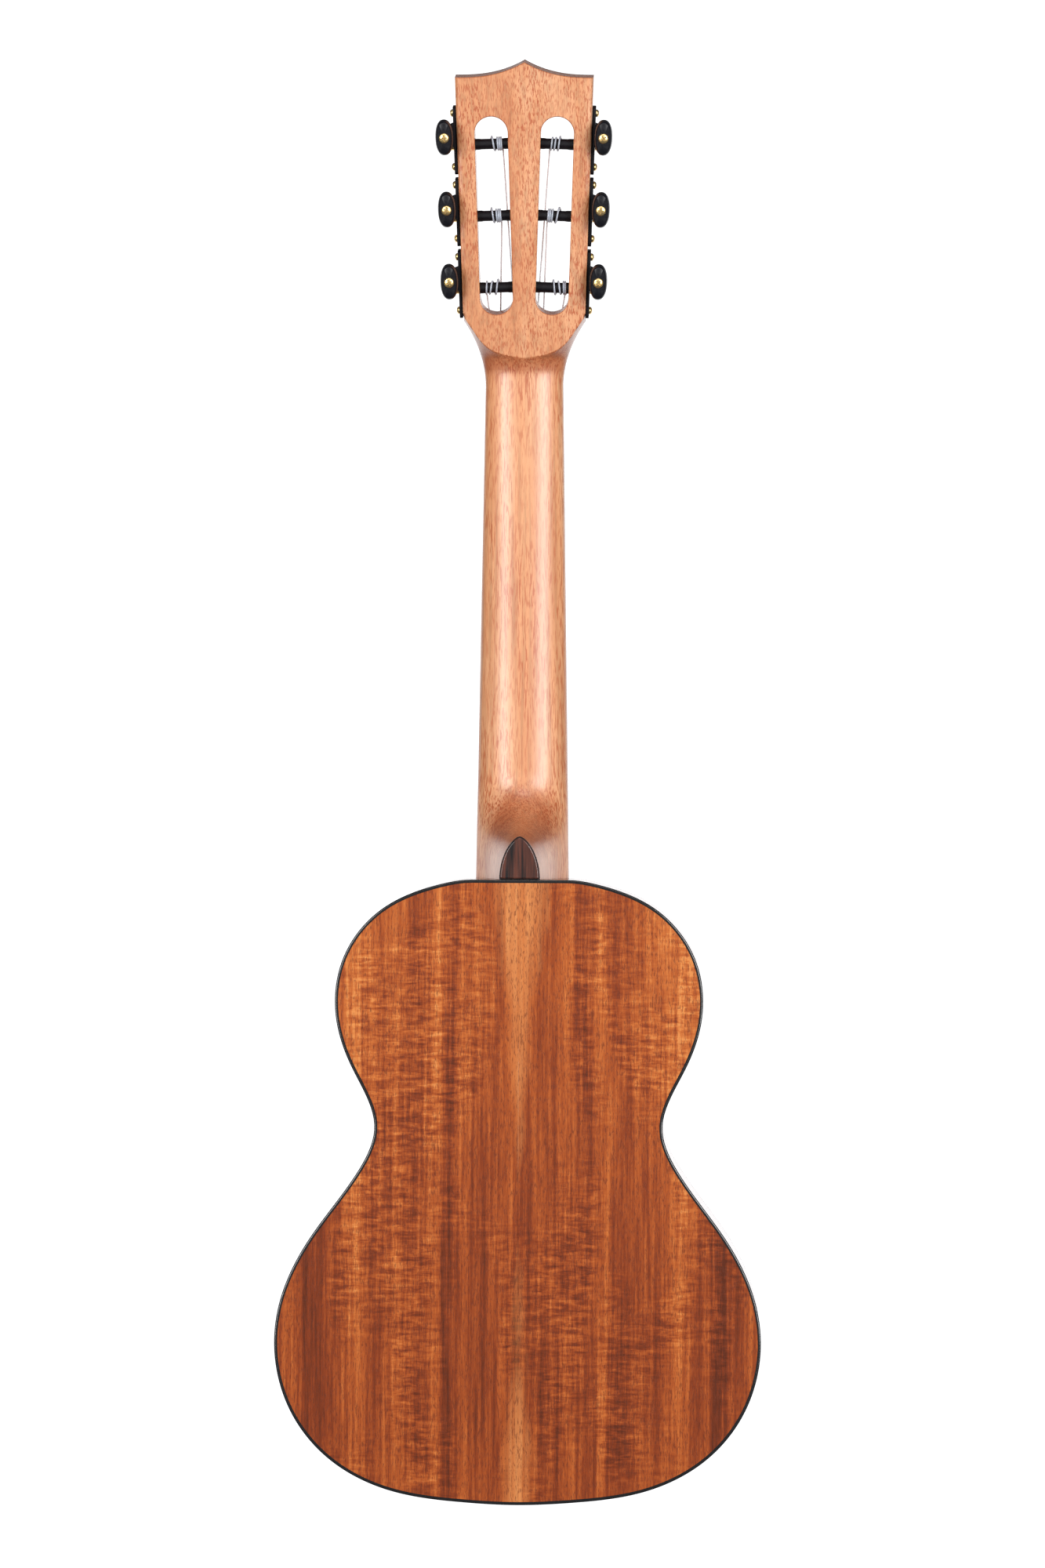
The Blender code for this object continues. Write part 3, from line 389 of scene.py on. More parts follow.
def mahogany_material(name):
    """Pale orange mahogany with short dark pores under lacquer, darkened with painted shade where its
    surface faces up or down the neck, as in the heel's hollow, and under the head's ridge.
    """
    shader = Shader(name)
    broad = shader.noise(shader.place((70, 70, 5.0)), 1.0, 4.0, 0.55, 0.3)
    stripes = shader.noise(shader.place((520, 520, 9)), 1.0, 4.0, 0.62)
    pores = shader.noise(shader.place((1800, 1800, 150)), 1.0, 2.0, 0.5)
    patches = shader.noise(shader.place((60, 60, 14)), 1.0, 2.0)
    browns = [(0.32, srgb(212, 139, 92)), (0.5, srgb(229, 161, 113)), (0.68, srgb(239, 180, 135))]
    levels = shader.ramp(stripes, [(0.36, 0.76), (0.5, 0.97), (0.64, 1.06)])
    color = shader.mix(shader.ramp(broad, browns), levels, 0.9, "MULTIPLY")
    dashes = shader.times(shader.ramp(pores, [(0.4, 1.0), (0.5, 0.0)]), 0.9)
    dashes = shader.times(dashes, shader.ramp(patches, [(0.35, 0.4), (0.62, 1.0)]))
    color = shader.mix(color, srgb(186, 92, 46), dashes)
    # Painted shade: the colour is darkened where the surface faces up or down the neck and under the ridge
    # at the foot of the head; across holds how much.
    facing = shader.split("Normal")["Z"]
    across = shader.ramp(shader.math("ABSOLUTE", facing), [(0.12, 0.0), (0.45, 1.0)])
    across = shader.plus(across, ridge_shade(shader), True)
    color = shader.mix(color, (0.68, 0.5, 0.42), across, "MULTIPLY")
    shader.set(Base_Color=color, Roughness=0.45, Coat_Weight=0.8, Coat_Roughness=0.26)
    shader.bump(shader.ramp(pores, [(0.36, 0.0), (0.45, 1.0)]), 0.00005, 0.35)
    return shader.material


def ridge_shade(shader):
    """Painted shade: how dark the neck is painted under the sharp ridge at the foot of the head, off the
    head's flat back.
    """
    parts = shader.split()
    slope = shader.times(parts["Z"], tan(HEAD_TILT))
    gap = shader.plus(shader.plus(parts["Y"], slope), head_depth(0.0))
    off_the_flat = shader.times(gap, 1 / (0.3 * MM), True)
    height = shader.times(shader.plus(parts["Z"], 20 * MM), 1 / (30 * MM), True)
    near = shader.ramp(height, [(0.0, 0.0), (0.14, 0.2), (0.3, 0.9), (0.45, 1.0), (0.65, 0.5), (1.0, 0.0)])
    return shader.times(off_the_flat, near)


def dark_wood_material(name, dark, light, scale=(420, 420, 9), coat=0.2):
    """Rosewood or ebony: dark, with brown stripes along the grain and open pores."""
    shader = Shader(name)
    stripes = shader.noise(shader.place(scale), 1.0, 4.0, 0.6, 0.25)
    fine = shader.noise(shader.place((1600, 1600, 40)), 1.0, 2.0)
    middle = tuple(0.5 * (a + b) for a, b in zip(dark, light))
    color = shader.ramp(stripes, [(0.38, dark), (0.52, middle), (0.64, light)])
    color = shader.mix(color, shader.ramp(fine, [(0.35, 0.6), (0.5, 1.0)]), 0.6, "MULTIPLY")
    shader.set(Base_Color=color, Roughness=0.4, Coat_Weight=coat, Coat_Roughness=0.12)
    shader.set(Specular_IOR_Level=0.25)
    shader.bump(shader.ramp(fine, [(0.34, 0.0), (0.42, 1.0)]), 0.00005, 0.3)
    return shader.material


def spruce_material(name):
    """Bare spruce with close growth lines, for the braces inside."""
    shader = Shader(name)
    lines = shader.noise(shader.place((700, 30, 10)), 1.0, 2.0)
    shader.set(Base_Color=shader.ramp(lines, [(0.4, srgb(206, 170, 120)), (0.6, srgb(230, 200, 152))]))
    shader.set(Roughness=0.65)
    return shader.material


def smooth_material(name, color, roughness, metallic=0.0, coat=0.0, wear=0.06, specular=0.5):
    """Metal, plastic or bone: one colour with faint mottling and uneven polish."""
    shader = Shader(name)
    mottle = shader.noise(shader.place(), 260.0, 3.0)
    lighter = tuple(min(1.0, c * (1 + wear)) for c in color)
    darker = tuple(c * (1 - wear) for c in color)
    shader.set(Base_Color=shader.ramp(mottle, [(0.35, darker), (0.65, lighter)]), Metallic=metallic)
    polish = shader.noise(shader.place(), 900.0, 2.0)
    shader.set(Roughness=shader.ramp(polish, [(0.3, roughness * 0.85), (0.7, roughness * 1.2)]))
    shader.set(Coat_Weight=coat, Coat_Roughness=0.05, Specular_IOR_Level=specular)
    return shader.material


# ---- Mesh helpers ----


def skin(rows, closed=False):
    """A solid whose skin runs through rows of points, each row a closed loop of equal length."""
    bm = bmesh.new()
    loops = [[bm.verts.new(point) for point in row] for row in rows]
    pairs = list(zip(loops, loops[1:]))
    if closed:
        pairs.append((loops[-1], loops[0]))
    for low, high in pairs:
        for i in range(len(low)):
            j = (i + 1) % len(low)
            bm.faces.new((low[i], low[j], high[j], high[i]))
    if not closed:
        bm.faces.new(loops[0])
        bm.faces.new(loops[-1])
    bmesh.ops.recalc_face_normals(bm, faces=bm.faces)
    return bm


def circle(sides):
    """Points of a unit circle."""
    angles = [tau * i / sides for i in range(sides)]
    return [(cos(angle), sin(angle)) for angle in angles]


def arc(x, y, radius, start, turn, steps):
    """Points along an arc round (x, y), from one angle and through another."""
    angles = [start + turn * step / steps for step in range(steps + 1)]
    return [(x + radius * cos(angle), y + radius * sin(angle)) for angle in angles]


def turned(profile, sides=32):
    """A solid turned about Z from (radius, z) points."""
    return skin([[(r * x, r * y, z) for x, y in circle(sides)] for r, z in profile])


def box(low, high):
    """A box between two opposite corners."""
    corners = [(low[0], low[1]), (high[0], low[1]), (high[0], high[1]), (low[0], high[1])]
    return skin([[(x, y, z) for x, y in corners] for z in (low[2], high[2])])


def rounded(width, height, radius, steps):
    """A rectangle's outline with round corners, centred on the origin, as (x, y)."""
    outline = []
    for quarter, (right, up) in enumerate(((1, 1), (-1, 1), (-1, -1), (1, -1))):
        x, y = right * (width / 2 - radius), up * (height / 2 - radius)
        outline += arc(x, y, radius, quarter * pi / 2, pi / 2, steps)
    return outline


def prism(outline, low, high):
    """An outline of (x, z) points, extruded along Y between two surfaces y(z)."""
    return skin([[(x, surface(z), z) for x, z in outline] for surface in (low, high)])


def moved(bm, matrix):
    bmesh.ops.transform(bm, matrix=matrix, verts=bm.verts)
    return bm


def cut(bm, tools):
    """The shape with each tool cut out of it."""
    for tool in tools:
        objects = []
        for shape in (bm, tool):
            mesh = bpy.data.meshes.new("operand")
            shape.to_mesh(mesh)
            shape.free()
            objects.append(bpy.data.objects.new("operand", mesh))
            bpy.context.scene.collection.objects.link(objects[-1])
        modifier = objects[0].modifiers.new("Boolean", "BOOLEAN")
        modifier.operation = "DIFFERENCE"
        modifier.object = objects[1]
        bm = bmesh.new()
        bm.from_object(objects[0], bpy.context.evaluated_depsgraph_get())
        for obj in objects:
            bpy.data.meshes.remove(obj.data)
    return bm


def add(name, bm, look, body=ROOT, replaces=(), bevel=0.0, sharp=35, frame_matrix=None):
    """Adds a piece that rides on a body, with its points in the part's frame or in a given frame."""
    mesh = bpy.data.meshes.new(name)
    bm.to_mesh(mesh)
    bm.free()
    mesh.materials.append(LOOKS[look])
    mesh.shade_smooth()
    mesh.set_sharp_from_angle(angle=radians(sharp))
    piece = bpy.data.objects.new(name, mesh)
    bpy.context.scene.collection.objects.link(piece)
    if frame_matrix is not None:
        piece.matrix_world = frame_matrix
    if bevel:
        modifier = piece.modifiers.new("Bevel", "BEVEL")
        modifier.width = bevel
        modifier.segments = 3
        modifier.limit_method = "ANGLE"
        modifier.angle_limit = radians(40)
        modifier.harden_normals = True
    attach(piece, body)
    if replaces:
        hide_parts(*replaces)


def tube(name, points, radius, look, body=ROOT, replaces=(), sides=10):
    """A round tube along a list of points, with closed ends."""
    points = [Vector(point) for point in points]
    rows = []
    normal = None
    for i, point in enumerate(points):
        tangent = (points[min(i + 1, len(points) - 1)] - points[max(i - 1, 0)]).normalized()
        if normal is None:
            normal = tangent.orthogonal().normalized()
        normal = (normal - tangent * normal.dot(tangent)).normalized()
        binormal = tangent.cross(normal)
        rows.append([point + radius * (x * normal + y * binormal) for x, y in circle(sides)])
    add(name, skin(rows), look, body, replaces, sharp=60)


def through(points, steps):
    """A smooth curve through points, with a number of steps between each two."""
    points = [Vector(point) for point in points]
    padded = [2 * points[0] - points[1]] + points + [2 * points[-1] - points[-2]]
    curve = []
    for a, b, c, d in zip(padded, padded[1:], padded[2:], padded[3:]):
        for step in range(steps):
            t = step / steps
            square = (2 * a - 5 * b + 4 * c - d) * t**2
            cube = (3 * b - a - 3 * c + d) * t**3
            curve.append(0.5 * (2 * b + (c - a) * t + square + cube))
    return curve + [points[-1]]


# ---- The body ----


def smooth_curve(points, start, end, steps):
    """Points along the cubic spline through the given points, with its directions at both ends."""
    points = np.array(points)
    spans = np.linalg.norm(np.diff(points, axis=0), axis=1)
    along = np.concatenate([[0], np.cumsum(spans)])
    count = len(points)
    system = np.eye(count)
    values = np.zeros((count, 2))
    values[0], values[-1] = start, end
    for i in range(1, count - 1):
        before, after = spans[i - 1], spans[i]
        system[i, i - 1 : i + 2] = after, 2 * (before + after), before
        steps_in = points[i] - points[i - 1]
        steps_out = points[i + 1] - points[i]
        values[i] = 3 * (after * steps_in / before + before * steps_out / after)
    slopes = np.linalg.solve(system, values)
    curve = []
    for place in np.linspace(0, along[-1], steps + 1):
        i = min(int(np.searchsorted(along, place, side="right")) - 1, count - 2)
        t = (place - along[i]) / spans[i]
        curve.append(
            (2 * t**3 - 3 * t**2 + 1) * points[i]
            + (t**3 - 2 * t**2 + t) * spans[i] * slopes[i]
            + (3 * t**2 - 2 * t**3) * points[i + 1]
            + (t**3 - t**2) * spans[i] * slopes[i + 1]
        )
    return np.array(curve)


def make_rim():
    """The right half of the outline and the inward direction at each of its points."""
    curve = smooth_curve(np.array(HALF_OUTLINE) * MM, (1, 0), (-1, 0), OUTLINE_STEPS)
    curve = np.vstack([[(0, 0), (0.011, 0)], curve])
    along = np.gradient(curve, axis=0)
    along[0] = along[1] = along[2] = (1, 0)
    along[-1] = (-1, 0)
    inward = np.column_stack([-along[:, 1], along[:, 0]]) / np.linalg.norm(along, axis=1)[:, None]
    return curve, inward


RIM, INWARD = make_rim()


def rim(inset, side, middle=0.0):
    """Half of the outline, moved inwards, as (x, z)."""
    return [(side * max(x, middle), BODY_TOP - below) for x, below in RIM + inset * INWARD]


def full_rim(inset):
    """The whole outline as one loop."""
    return rim(inset, 1) + rim(inset, -1)[-2:0:-1]


def back_face(z):
    return -DEPTH_AT_NECK + BACK_SLOPE * (z - BODY_TOP)


def behind(distance):
    """A plane parallel to the back, nearer the soundboard by a distance."""
    return lambda z: back_face(z) + distance


def level(y):
    return lambda z: y


def make_binding(name, surface, inwards):
    """A binding: a strip round the edge, rounded at its outer corner. inwards points into the body."""
    radius = 0.7 * MM
    section = [(BINDING_WIDTH, 0.0), (BINDING_WIDTH, BINDING_HEIGHT), (0.0, BINDING_HEIGHT)]
    section += arc(radius, radius, radius, pi, pi / 2, 5)
    loops = [[(x, surface(z) + inwards * depth, z) for x, z in full_rim(inset)] for inset, depth in section]
    rows = [list(row) for row in zip(*loops)]
    add(name, skin(rows, closed=True), "binding", replaces=[name])


def make_body():
    """The back, the sides, the soundboard with its rosette, and the bindings."""
    for name, side in (("back_left", -1), ("back_right", 1)):
        outline = rim(BINDING_WIDTH + 0.03 * MM, side, 0.02 * MM)
        add(name + "_plate", prism(outline, back_face, behind(PLATE)), "koa", replaces=[name])
    for name, side in (("side_left", -1), ("side_right", 1)):
        outer, inner = rim(0.02 * MM, side, 0.03 * MM), rim(SIDE, side, 0.03 * MM)
        rows = []
        near, far = behind(BINDING_HEIGHT), level(-BINDING_HEIGHT)
        for (x0, z0), (x1, z1) in zip(outer, inner):
            rows.append([(x0, near(z0), z0), (x0, far(z0), z0), (x1, far(z1), z1), (x1, near(z1), z1)])
        add(name + "_rib", skin(rows), "koa_side", replaces=[name])
    make_soundboard()
    make_binding("back_binding", back_face, 1)
    make_binding("top_binding", level(0.0), -1)


def make_soundboard():
    """Two halves with the soundhole, and three rings of inlay round it."""
    half_hole = arc(0.0, SOUNDHOLE_Z, SOUNDHOLE_RADIUS, -pi / 2, pi, 48)
    for side, label in ((-1, "left"), (1, "right")):
        outline = rim(BINDING_WIDTH + 0.03 * MM, side, 0.02 * MM) + [(side * x, z) for x, z in half_hole]
        replaced = ["soundboard"] if side < 0 else []
        piece = prism(outline, level(-PLATE), level(0.0))
        add("soundboard_" + label, piece, "koa_top", replaces=replaced)
    rings = [(31.0, 31.7, "binding"), (31.7, 35.3, "rosette"), (35.3, 36.0, "binding")]
    for number, (inner, outer, look) in enumerate(rings, 1):
        rows = []
        section = [(inner, -0.2), (outer, -0.2), (outer, 0.04), (inner, 0.04)]
        for x, z in circle(128):
            rows.append([(r * MM * x, y * MM, SOUNDHOLE_Z + r * MM * z) for r, y in section])
        add(f"rosette_ring_{number}", skin(rows, closed=True), look)


# ---- The neck and head ----


def board_half_width(z):
    """Half the width of the neck and fingerboard, which taper evenly from the body to the nut."""
    return NUT_HALF_WIDTH + (JOINT_BOARD_HALF_WIDTH - NUT_HALF_WIDTH) * z / BODY_TOP


def neck_half_width(z):
    """The neck's half width, which flares out smoothly under the nut to the head's width."""
    if z < FLARE_START:
        return board_half_width(z)
    share = min((z - FLARE_START) / (FLARE_END - FLARE_START), 1.0)
    foot = board_half_width(FLARE_START)
    return foot + (HEAD_FOOT_HALF_WIDTH - foot) * share**2


def head_half_width(height):
    """Half the head's width at a height along it: its sides spread evenly."""
    return HEAD_FOOT_HALF_WIDTH + (height - HEAD_FOOT) * tan(SIDE_LEAN)


def head_depth(z):
    """How far behind y = 0 the head's flat back lies at a height."""
    return HEAD_THICKNESS / cos(HEAD_TILT) + (z - NUT_LENGTH) * tan(HEAD_TILT)


def shaft_depth(x, z):
    """The thickness of the rounded shaft at places x, which swells until the head's flat back cuts it."""
    middle = NECK_DEPTH_AT_NUT
    if z < 0:
        middle += (NECK_DEPTH_AT_HEEL - NECK_DEPTH_AT_NUT) * min(z / BODY_TOP, 1.0)
    if z > SWELL_START:
        swell = min((z - SWELL_START) / (RIDGE - SWELL_START), 1.0)
        middle += (head_depth(RIDGE) - middle) * swell**2.8
    if z > RIDGE:
        beyond = (z - RIDGE) / MM
        middle += (0.55 * beyond + 0.55 * beyond**1.5) * MM
    share = np.clip(np.abs(x) / neck_half_width(z), 0.0, 1.0)
    depth = NECK_WALL + (middle - NECK_WALL) * np.sqrt(1 - share**2)
    return np.minimum(depth, head_depth(z)) if z > RIDGE else depth


def arch_half_width(rise, share):
    """Half the heel's width at a rise, from the cap's arch (share 0) to the neck's outline (share 1)."""
    half = CAP_HALF_WIDTH + (JOINT_BOARD_HALF_WIDTH - CAP_HALF_WIDTH) * share**1.8
    height = CAP_HEIGHT + HEEL_FLARE * share**2.2
    left = 1 - (rise / height) ** (2 + 2.5 * share)
    return half * np.sign(left) * np.abs(left) ** ARCH_POWER


def heel_depth(x, z):
    """The depth of the heel, which narrows in a hollow sweep from the neck's width to a pointed arch."""
    deepest = -back_face(z) - CAP_THICKNESS - 0.02 * MM
    x = np.abs(x)
    low, high = np.zeros(len(x)), np.full(len(x), 2.0)
    for _ in range(30):
        middle = (low + high) / 2
        narrow = arch_half_width(z - BODY_TOP, middle) < x
        low, high = np.where(narrow, middle, low), np.where(narrow, high, middle)
    return deepest - (deepest - NECK_WALL) * high


def neck_depth(x, z):
    """The depth of the shaft at places x, which runs smoothly into the heel."""
    shaft = shaft_depth(x, z)
    if z > BODY_TOP + 60 * MM:
        return shaft
    heel = heel_depth(x, z)
    share = np.maximum(HEEL_BLEND - np.abs(shaft - heel), 0.0) / HEEL_BLEND
    return np.maximum(shaft, heel) + share**2 * HEEL_BLEND / 4


def spaced(x, depth, count):
    """Points spaced evenly along half an outline, mirrored to run from side to side, as (x, depth)."""
    along = np.concatenate([[0], np.cumsum(np.hypot(np.diff(x), np.diff(depth)))])
    places = np.linspace(0, along[-1], count)
    right = list(zip(np.interp(places, along, x), np.interp(places, along, depth)))
    return [(-a, b) for a, b in right[:0:-1]] + right


def neck_section(z, count):
    """The back of the neck at a height, from side to side."""
    half = neck_half_width(z)
    x = half * np.sin(np.linspace(0, pi / 2, 500))
    return spaced(np.append(x, half), np.append(neck_depth(x, z), NECK_WALL), count)


def head_section(height, count):
    """The head at a height along it, in head coordinates, with rounded rear corners."""
    half = head_half_width(height)
    radius = 0.7 * MM
    turn = np.linspace(0, pi / 2, 9)
    x = np.concatenate([[0.0], half - radius + radius * np.sin(turn), [half]])
    depth = np.concatenate([[HEAD_THICKNESS], HEAD_THICKNESS - radius + radius * np.cos(turn), [NECK_WALL]])
    return [(a, height, b) for a, b in spaced(x, depth, count)]


def make_neck():
    """The neck, carved from one piece with its heel and its slotted head, and the heel's cap."""
    count = 60
    start = BODY_TOP + 0.02 * MM
    heights = [*np.linspace(start, BODY_TOP + 60 * MM, 96), -0.14, -0.1, -0.06, -0.035]
    heights += list(np.linspace(FLARE_START, FLARE_END - 0.2 * MM, 70))
    rows = []
    for z in heights:
        half = neck_half_width(z)
        front = -max(z - NUT_LENGTH, 0.0) * tan(HEAD_TILT)
        rows.append([(x, -depth, z) for x, depth in neck_section(z, count)])
        rows[-1] += [(half, front, z), (-half, front, z)]
    for height in (HEAD_FOOT + 3.4 * MM, HEAD_CORNER + CROWN):
        half = head_half_width(height)
        row = head_section(height, count) + [(half, height, 0.0), (-half, height, 0.0)]
        rows.append([HEAD @ Vector(point) for point in row])
    tools = [moved(tool, HEAD) for tool in head_cutters(0.0, HEAD_THICKNESS)]
    for side, _, number in TUNERS:
        hole = [(POST_HOLE_RADIUS, -1.5 * MM), (POST_HOLE_RADIUS, POST_REACH + 0.6 * MM)]
        inwards = Matrix.Rotation(-side * pi / 2, 4, "Y")
        tools.append(moved(turned(hole, 40), tuner_frame(side, number) @ inwards))
    add("neck_and_head", cut(skin(rows), tools), "mahogany", replaces=["neck"], sharp=30)
    # The black rim round the cap is partly painted shade: it stands for the shadow in the crevice at the
    # cap's edge, on the cap's own dark wood.
    for name, inset, sunk, look, bevel, taken in (
        ("heel_cap_rim", 0.0, 0.6 * MM, "binding", 0.1 * MM, ["heel_cap"]),
        ("heel_cap_plate", 0.42 * MM, 0.0, "cap_ebony", 0.7 * MM, []),
    ):
        right = cap_arch(inset)
        outline = [(-x, z) for x, z in right[:0:-1]] + right
        plate = prism(outline, behind(sunk), behind(CAP_THICKNESS - inset))
        add(name, plate, look, replaces=taken, bevel=bevel, sharp=20)


def cap_arch(inset):
    """The right half of the heel cap's pointed arch, drawn in by an inset, from its point to its base."""
    foot = BODY_TOP + 0.1 * MM + 0.8 * inset
    points = []
    for step in range(25):
        angle = pi / 2 * step / 24
        x = (CAP_HALF_WIDTH - inset) * sin(angle) ** (2 * ARCH_POWER)
        points.append((x, foot + (CAP_HEIGHT - 2.0 * inset) * cos(angle)))
    return points


def slot_outline(side, radius):
    """A slot's outline in head coordinates, with a given half width."""
    low, high = SLOT_BOTTOM + SLOT_HALF_WIDTH, SLOT_TOP - SLOT_HALF_WIDTH
    outline = []
    for height, start in ((high, 0.0), (low, pi)):
        share = (height - SLOT_BOTTOM) / (SLOT_TOP - SLOT_BOTTOM)
        x = side * (SLOT_X_AT_BOTTOM + (SLOT_X_AT_TOP - SLOT_X_AT_BOTTOM) * share)
        outline += arc(x, height, radius, start, pi, 32)
    return outline


def head_cutters(front, back):
    """The slots with eased edges, the ramps for the low strings, and the waste above the crown."""
    tools = []
    flared = 1 * MM + LIP
    layers = ((front - 1 * MM, flared), (front + LIP, 0.0), (back - LIP, 0.0), (back + 1 * MM, flared))
    for side in (-1, 1):
        rows = [[(x, y, d) for x, y in slot_outline(side, SLOT_HALF_WIDTH + wider)] for d, wider in layers]
        tools.append(skin(rows))
        tools.append(ramp_cutter(side))
    half = head_half_width(HEAD_CORNER)
    steps = [i / 24 for i in range(-23, 24)]
    wide, over = half + 3 * MM, HEAD_CORNER + CROWN + 4 * MM
    rows = []
    for depth, lower in layers:
        lowest = HEAD_CORNER - lower
        crown = [(step * half, lowest + CROWN * (1 - abs(step)) ** CROWN_POWER) for step in steps]
        outline = [(-wide, lowest), *crown, (wide, lowest), (wide, over), (-wide, over)]
        rows.append([(x, y, depth) for x, y in outline])
    tools.append(skin(rows))
    return tools


def ramp_cutter(side):
    """The sloped cut at the foot of a slot that lets its lowest string down to the post."""
    depth, length, half = 2.8 * MM, 5.5 * MM, 7.3 * MM
    low = SLOT_BOTTOM + SLOT_HALF_WIDTH
    x = side * SLOT_X_AT_BOTTOM
    rows = []
    for place in (-VENEER - 1 * MM, depth - VENEER):
        foot = SLOT_BOTTOM + 1.5 * MM - length / depth * (depth - VENEER - place)
        corners = ((x - half, foot), (x + half, foot), (x + half, low), (x - half, low))
        rows.append([(*corner, place) for corner in corners])
    return skin(rows)


def make_headplate():
    """The veneer on the front of the head."""
    low, high = 0.3 * MM, HEAD_CORNER + CROWN
    right = []
    for step in range(12):
        z = NUT_LENGTH + low + (FLARE_END - NUT_LENGTH - low) * step / 11
        right.append((neck_half_width(z), z - NUT_LENGTH))
    right += [(head_half_width(h), h) for h in (HEAD_FOOT + 3.4 * MM, high)]
    outline = right + [(-x, y) for x, y in reversed(right)]
    plate = skin([[(x, y, depth) for x, y in outline] for depth in (-VENEER, -0.02 * MM)])
    plate = cut(plate, head_cutters(-VENEER, 0.0))
    add("head_veneer", moved(plate, HEAD), "rosewood", replaces=["headplate"])


# ---- The tuners ----


def tuner_frame(side, number):
    """A tuner's frame: its origin is where its post's axis leaves the side of the head."""
    height = POST_HEIGHTS[number - 1]
    place = Matrix.Translation((side * head_half_width(height), height, POST_DEPTH))
    return HEAD @ place @ Matrix.Rotation(-side * SIDE_LEAN, 4, "Z")


def outwards(side):
    return Matrix.Rotation(side * pi / 2, 4, "Y")


def screw_head(radius, height):
    """A domed screw head with a cross recess, standing on z = 0."""
    profile = [(radius * 0.96, -0.3 * MM), (radius, 0.0), (radius, height * 0.25)]
    for step in range(1, 6):
        angle = pi / 2 * step / 6
        profile.append((radius * cos(angle), height * (0.25 + 0.75 * sin(angle))))
    arm, half = radius * 0.62, radius * 0.13
    floor = height * 0.35
    bars = [
        box((-arm, -half, floor), (arm, half, height * 2)),
        box((-half, -arm, floor), (half, arm, height * 2)),
    ]
    return cut(turned(profile, 32), bars)


def plate_shape(side):
    """The base plate with rounded corners and the hole for its post."""
    thick, height, depth = PLATE_SIZE
    radius = 1.6 * MM
    outline = rounded(height, depth, radius, 6)
    plate = skin([[(side * x, y + PLATE_RISE, z) for y, z in outline] for x in (0.05 * MM, thick)])
    hole = turned([(POST_HOLE_RADIUS, -1 * MM), (POST_HOLE_RADIUS, 3 * MM)], 40)
    return cut(plate, [moved(hole, outwards(side))])


def ear_shape(side, z):
    """A bearing ear: broad at the plate, round at its end, with a hole for the worm's shaft."""
    outline = [(PLATE_SIZE[0] * 0.6, -6.0 * MM), (WORM_OUT * 0.75, -4.2 * MM)]
    radius = EAR_REACH - WORM_OUT
    outline += arc(WORM_OUT, 0.0, radius, -0.425 * pi, 0.85 * pi, 12)
    outline += [(WORM_OUT * 0.75, 4.2 * MM), (PLATE_SIZE[0] * 0.6, 5.4 * MM)]
    rows = []
    for end in (-0.5, 0.5):
        rows.append([(side * x, WORM_RISE + y, z + end * EAR_THICKNESS) for x, y in outline])
    hole = turned([(SHAFT_RADIUS + 0.1 * MM, -8 * MM), (SHAFT_RADIUS + 0.1 * MM, 8 * MM)], 24)
    return cut(skin(rows), [moved(hole, Matrix.Translation((side * WORM_OUT, WORM_RISE, 0)))])


def thread(phase):
    """The height of the worm's thread, from 0 at its root to 1 on its crest, along one turn."""
    distance = abs((phase + 0.5) % 1.0 - 0.5)
    return min(max((0.29 - distance) / 0.16, 0.0), 1.0)


def worm_shape():
    """The worm and its shaft up to the button."""
    sides, steps = 48, 20 * WORM_TURNS
    length = WORM_TURNS * WORM_PITCH

    def ring(radius, z):
        return [(radius * x, radius * y, z) for x, y in circle(sides)]

    rows = [ring(0.8 * MM, -6.0 * MM), ring(SHAFT_RADIUS, -5.8 * MM)]
    rows.append(ring(SHAFT_RADIUS, -length / 2 - 0.5 * MM))
    for step in range(steps + 1):
        z = length * (step / steps - 0.5)
        fade = min(1.0, 8 * min(step, steps - step) / steps)
        row = []
        for i, (x, y) in enumerate(circle(sides)):
            crest = fade * thread(z / WORM_PITCH - i / sides - 0.25)
            r = WORM_ROOT_RADIUS + (WORM_OUTER_RADIUS - WORM_ROOT_RADIUS) * crest
            row.append((r * x, r * y, z))
        rows.append(row)
    rows += [ring(SHAFT_RADIUS, length / 2 + 0.5 * MM), ring(SHAFT_RADIUS, BUTTON_START + 2 * MM)]
    return skin(rows)


def button_shape():
    """The oval button: a slim collar that swells to a rounded pad, flatter at its end."""
    stations = [
        # (share of the length, half width, half height in mm)
        (0.0, 2.3, 2.3), (0.08, 2.5, 2.6), (0.16, 2.9, 4.4), (0.28, 3.6, 6.9), (0.45, 4.0, 8.1),
        (0.6, 4.1, 8.3), (0.8, 4.0, 8.1), (0.92, 3.8, 7.7), (0.98, 3.5, 7.3), (1.0, 3.2, 6.9),
    ]
    rows = []
    for share, wide, tall in stations:
        z = BUTTON_START + (BUTTON_END - BUTTON_START) * share
        rows.append([(wide * MM * x, tall * MM * y, z) for x, y in squared_oval(share)])
    rows.append([(0.4 * x, 0.4 * y, z) for x, y, z in rows[-1]])
    return skin(rows)


def squared_oval(share):
    """An oval section of the button: round at the collar, blunt at the ends along the pad."""
    power = 1.0 - 0.12 * min(share / 0.4, 1.0)
    return [(copysign(abs(x) ** power, x), copysign(abs(y) ** power, y)) for x, y in circle(48)]


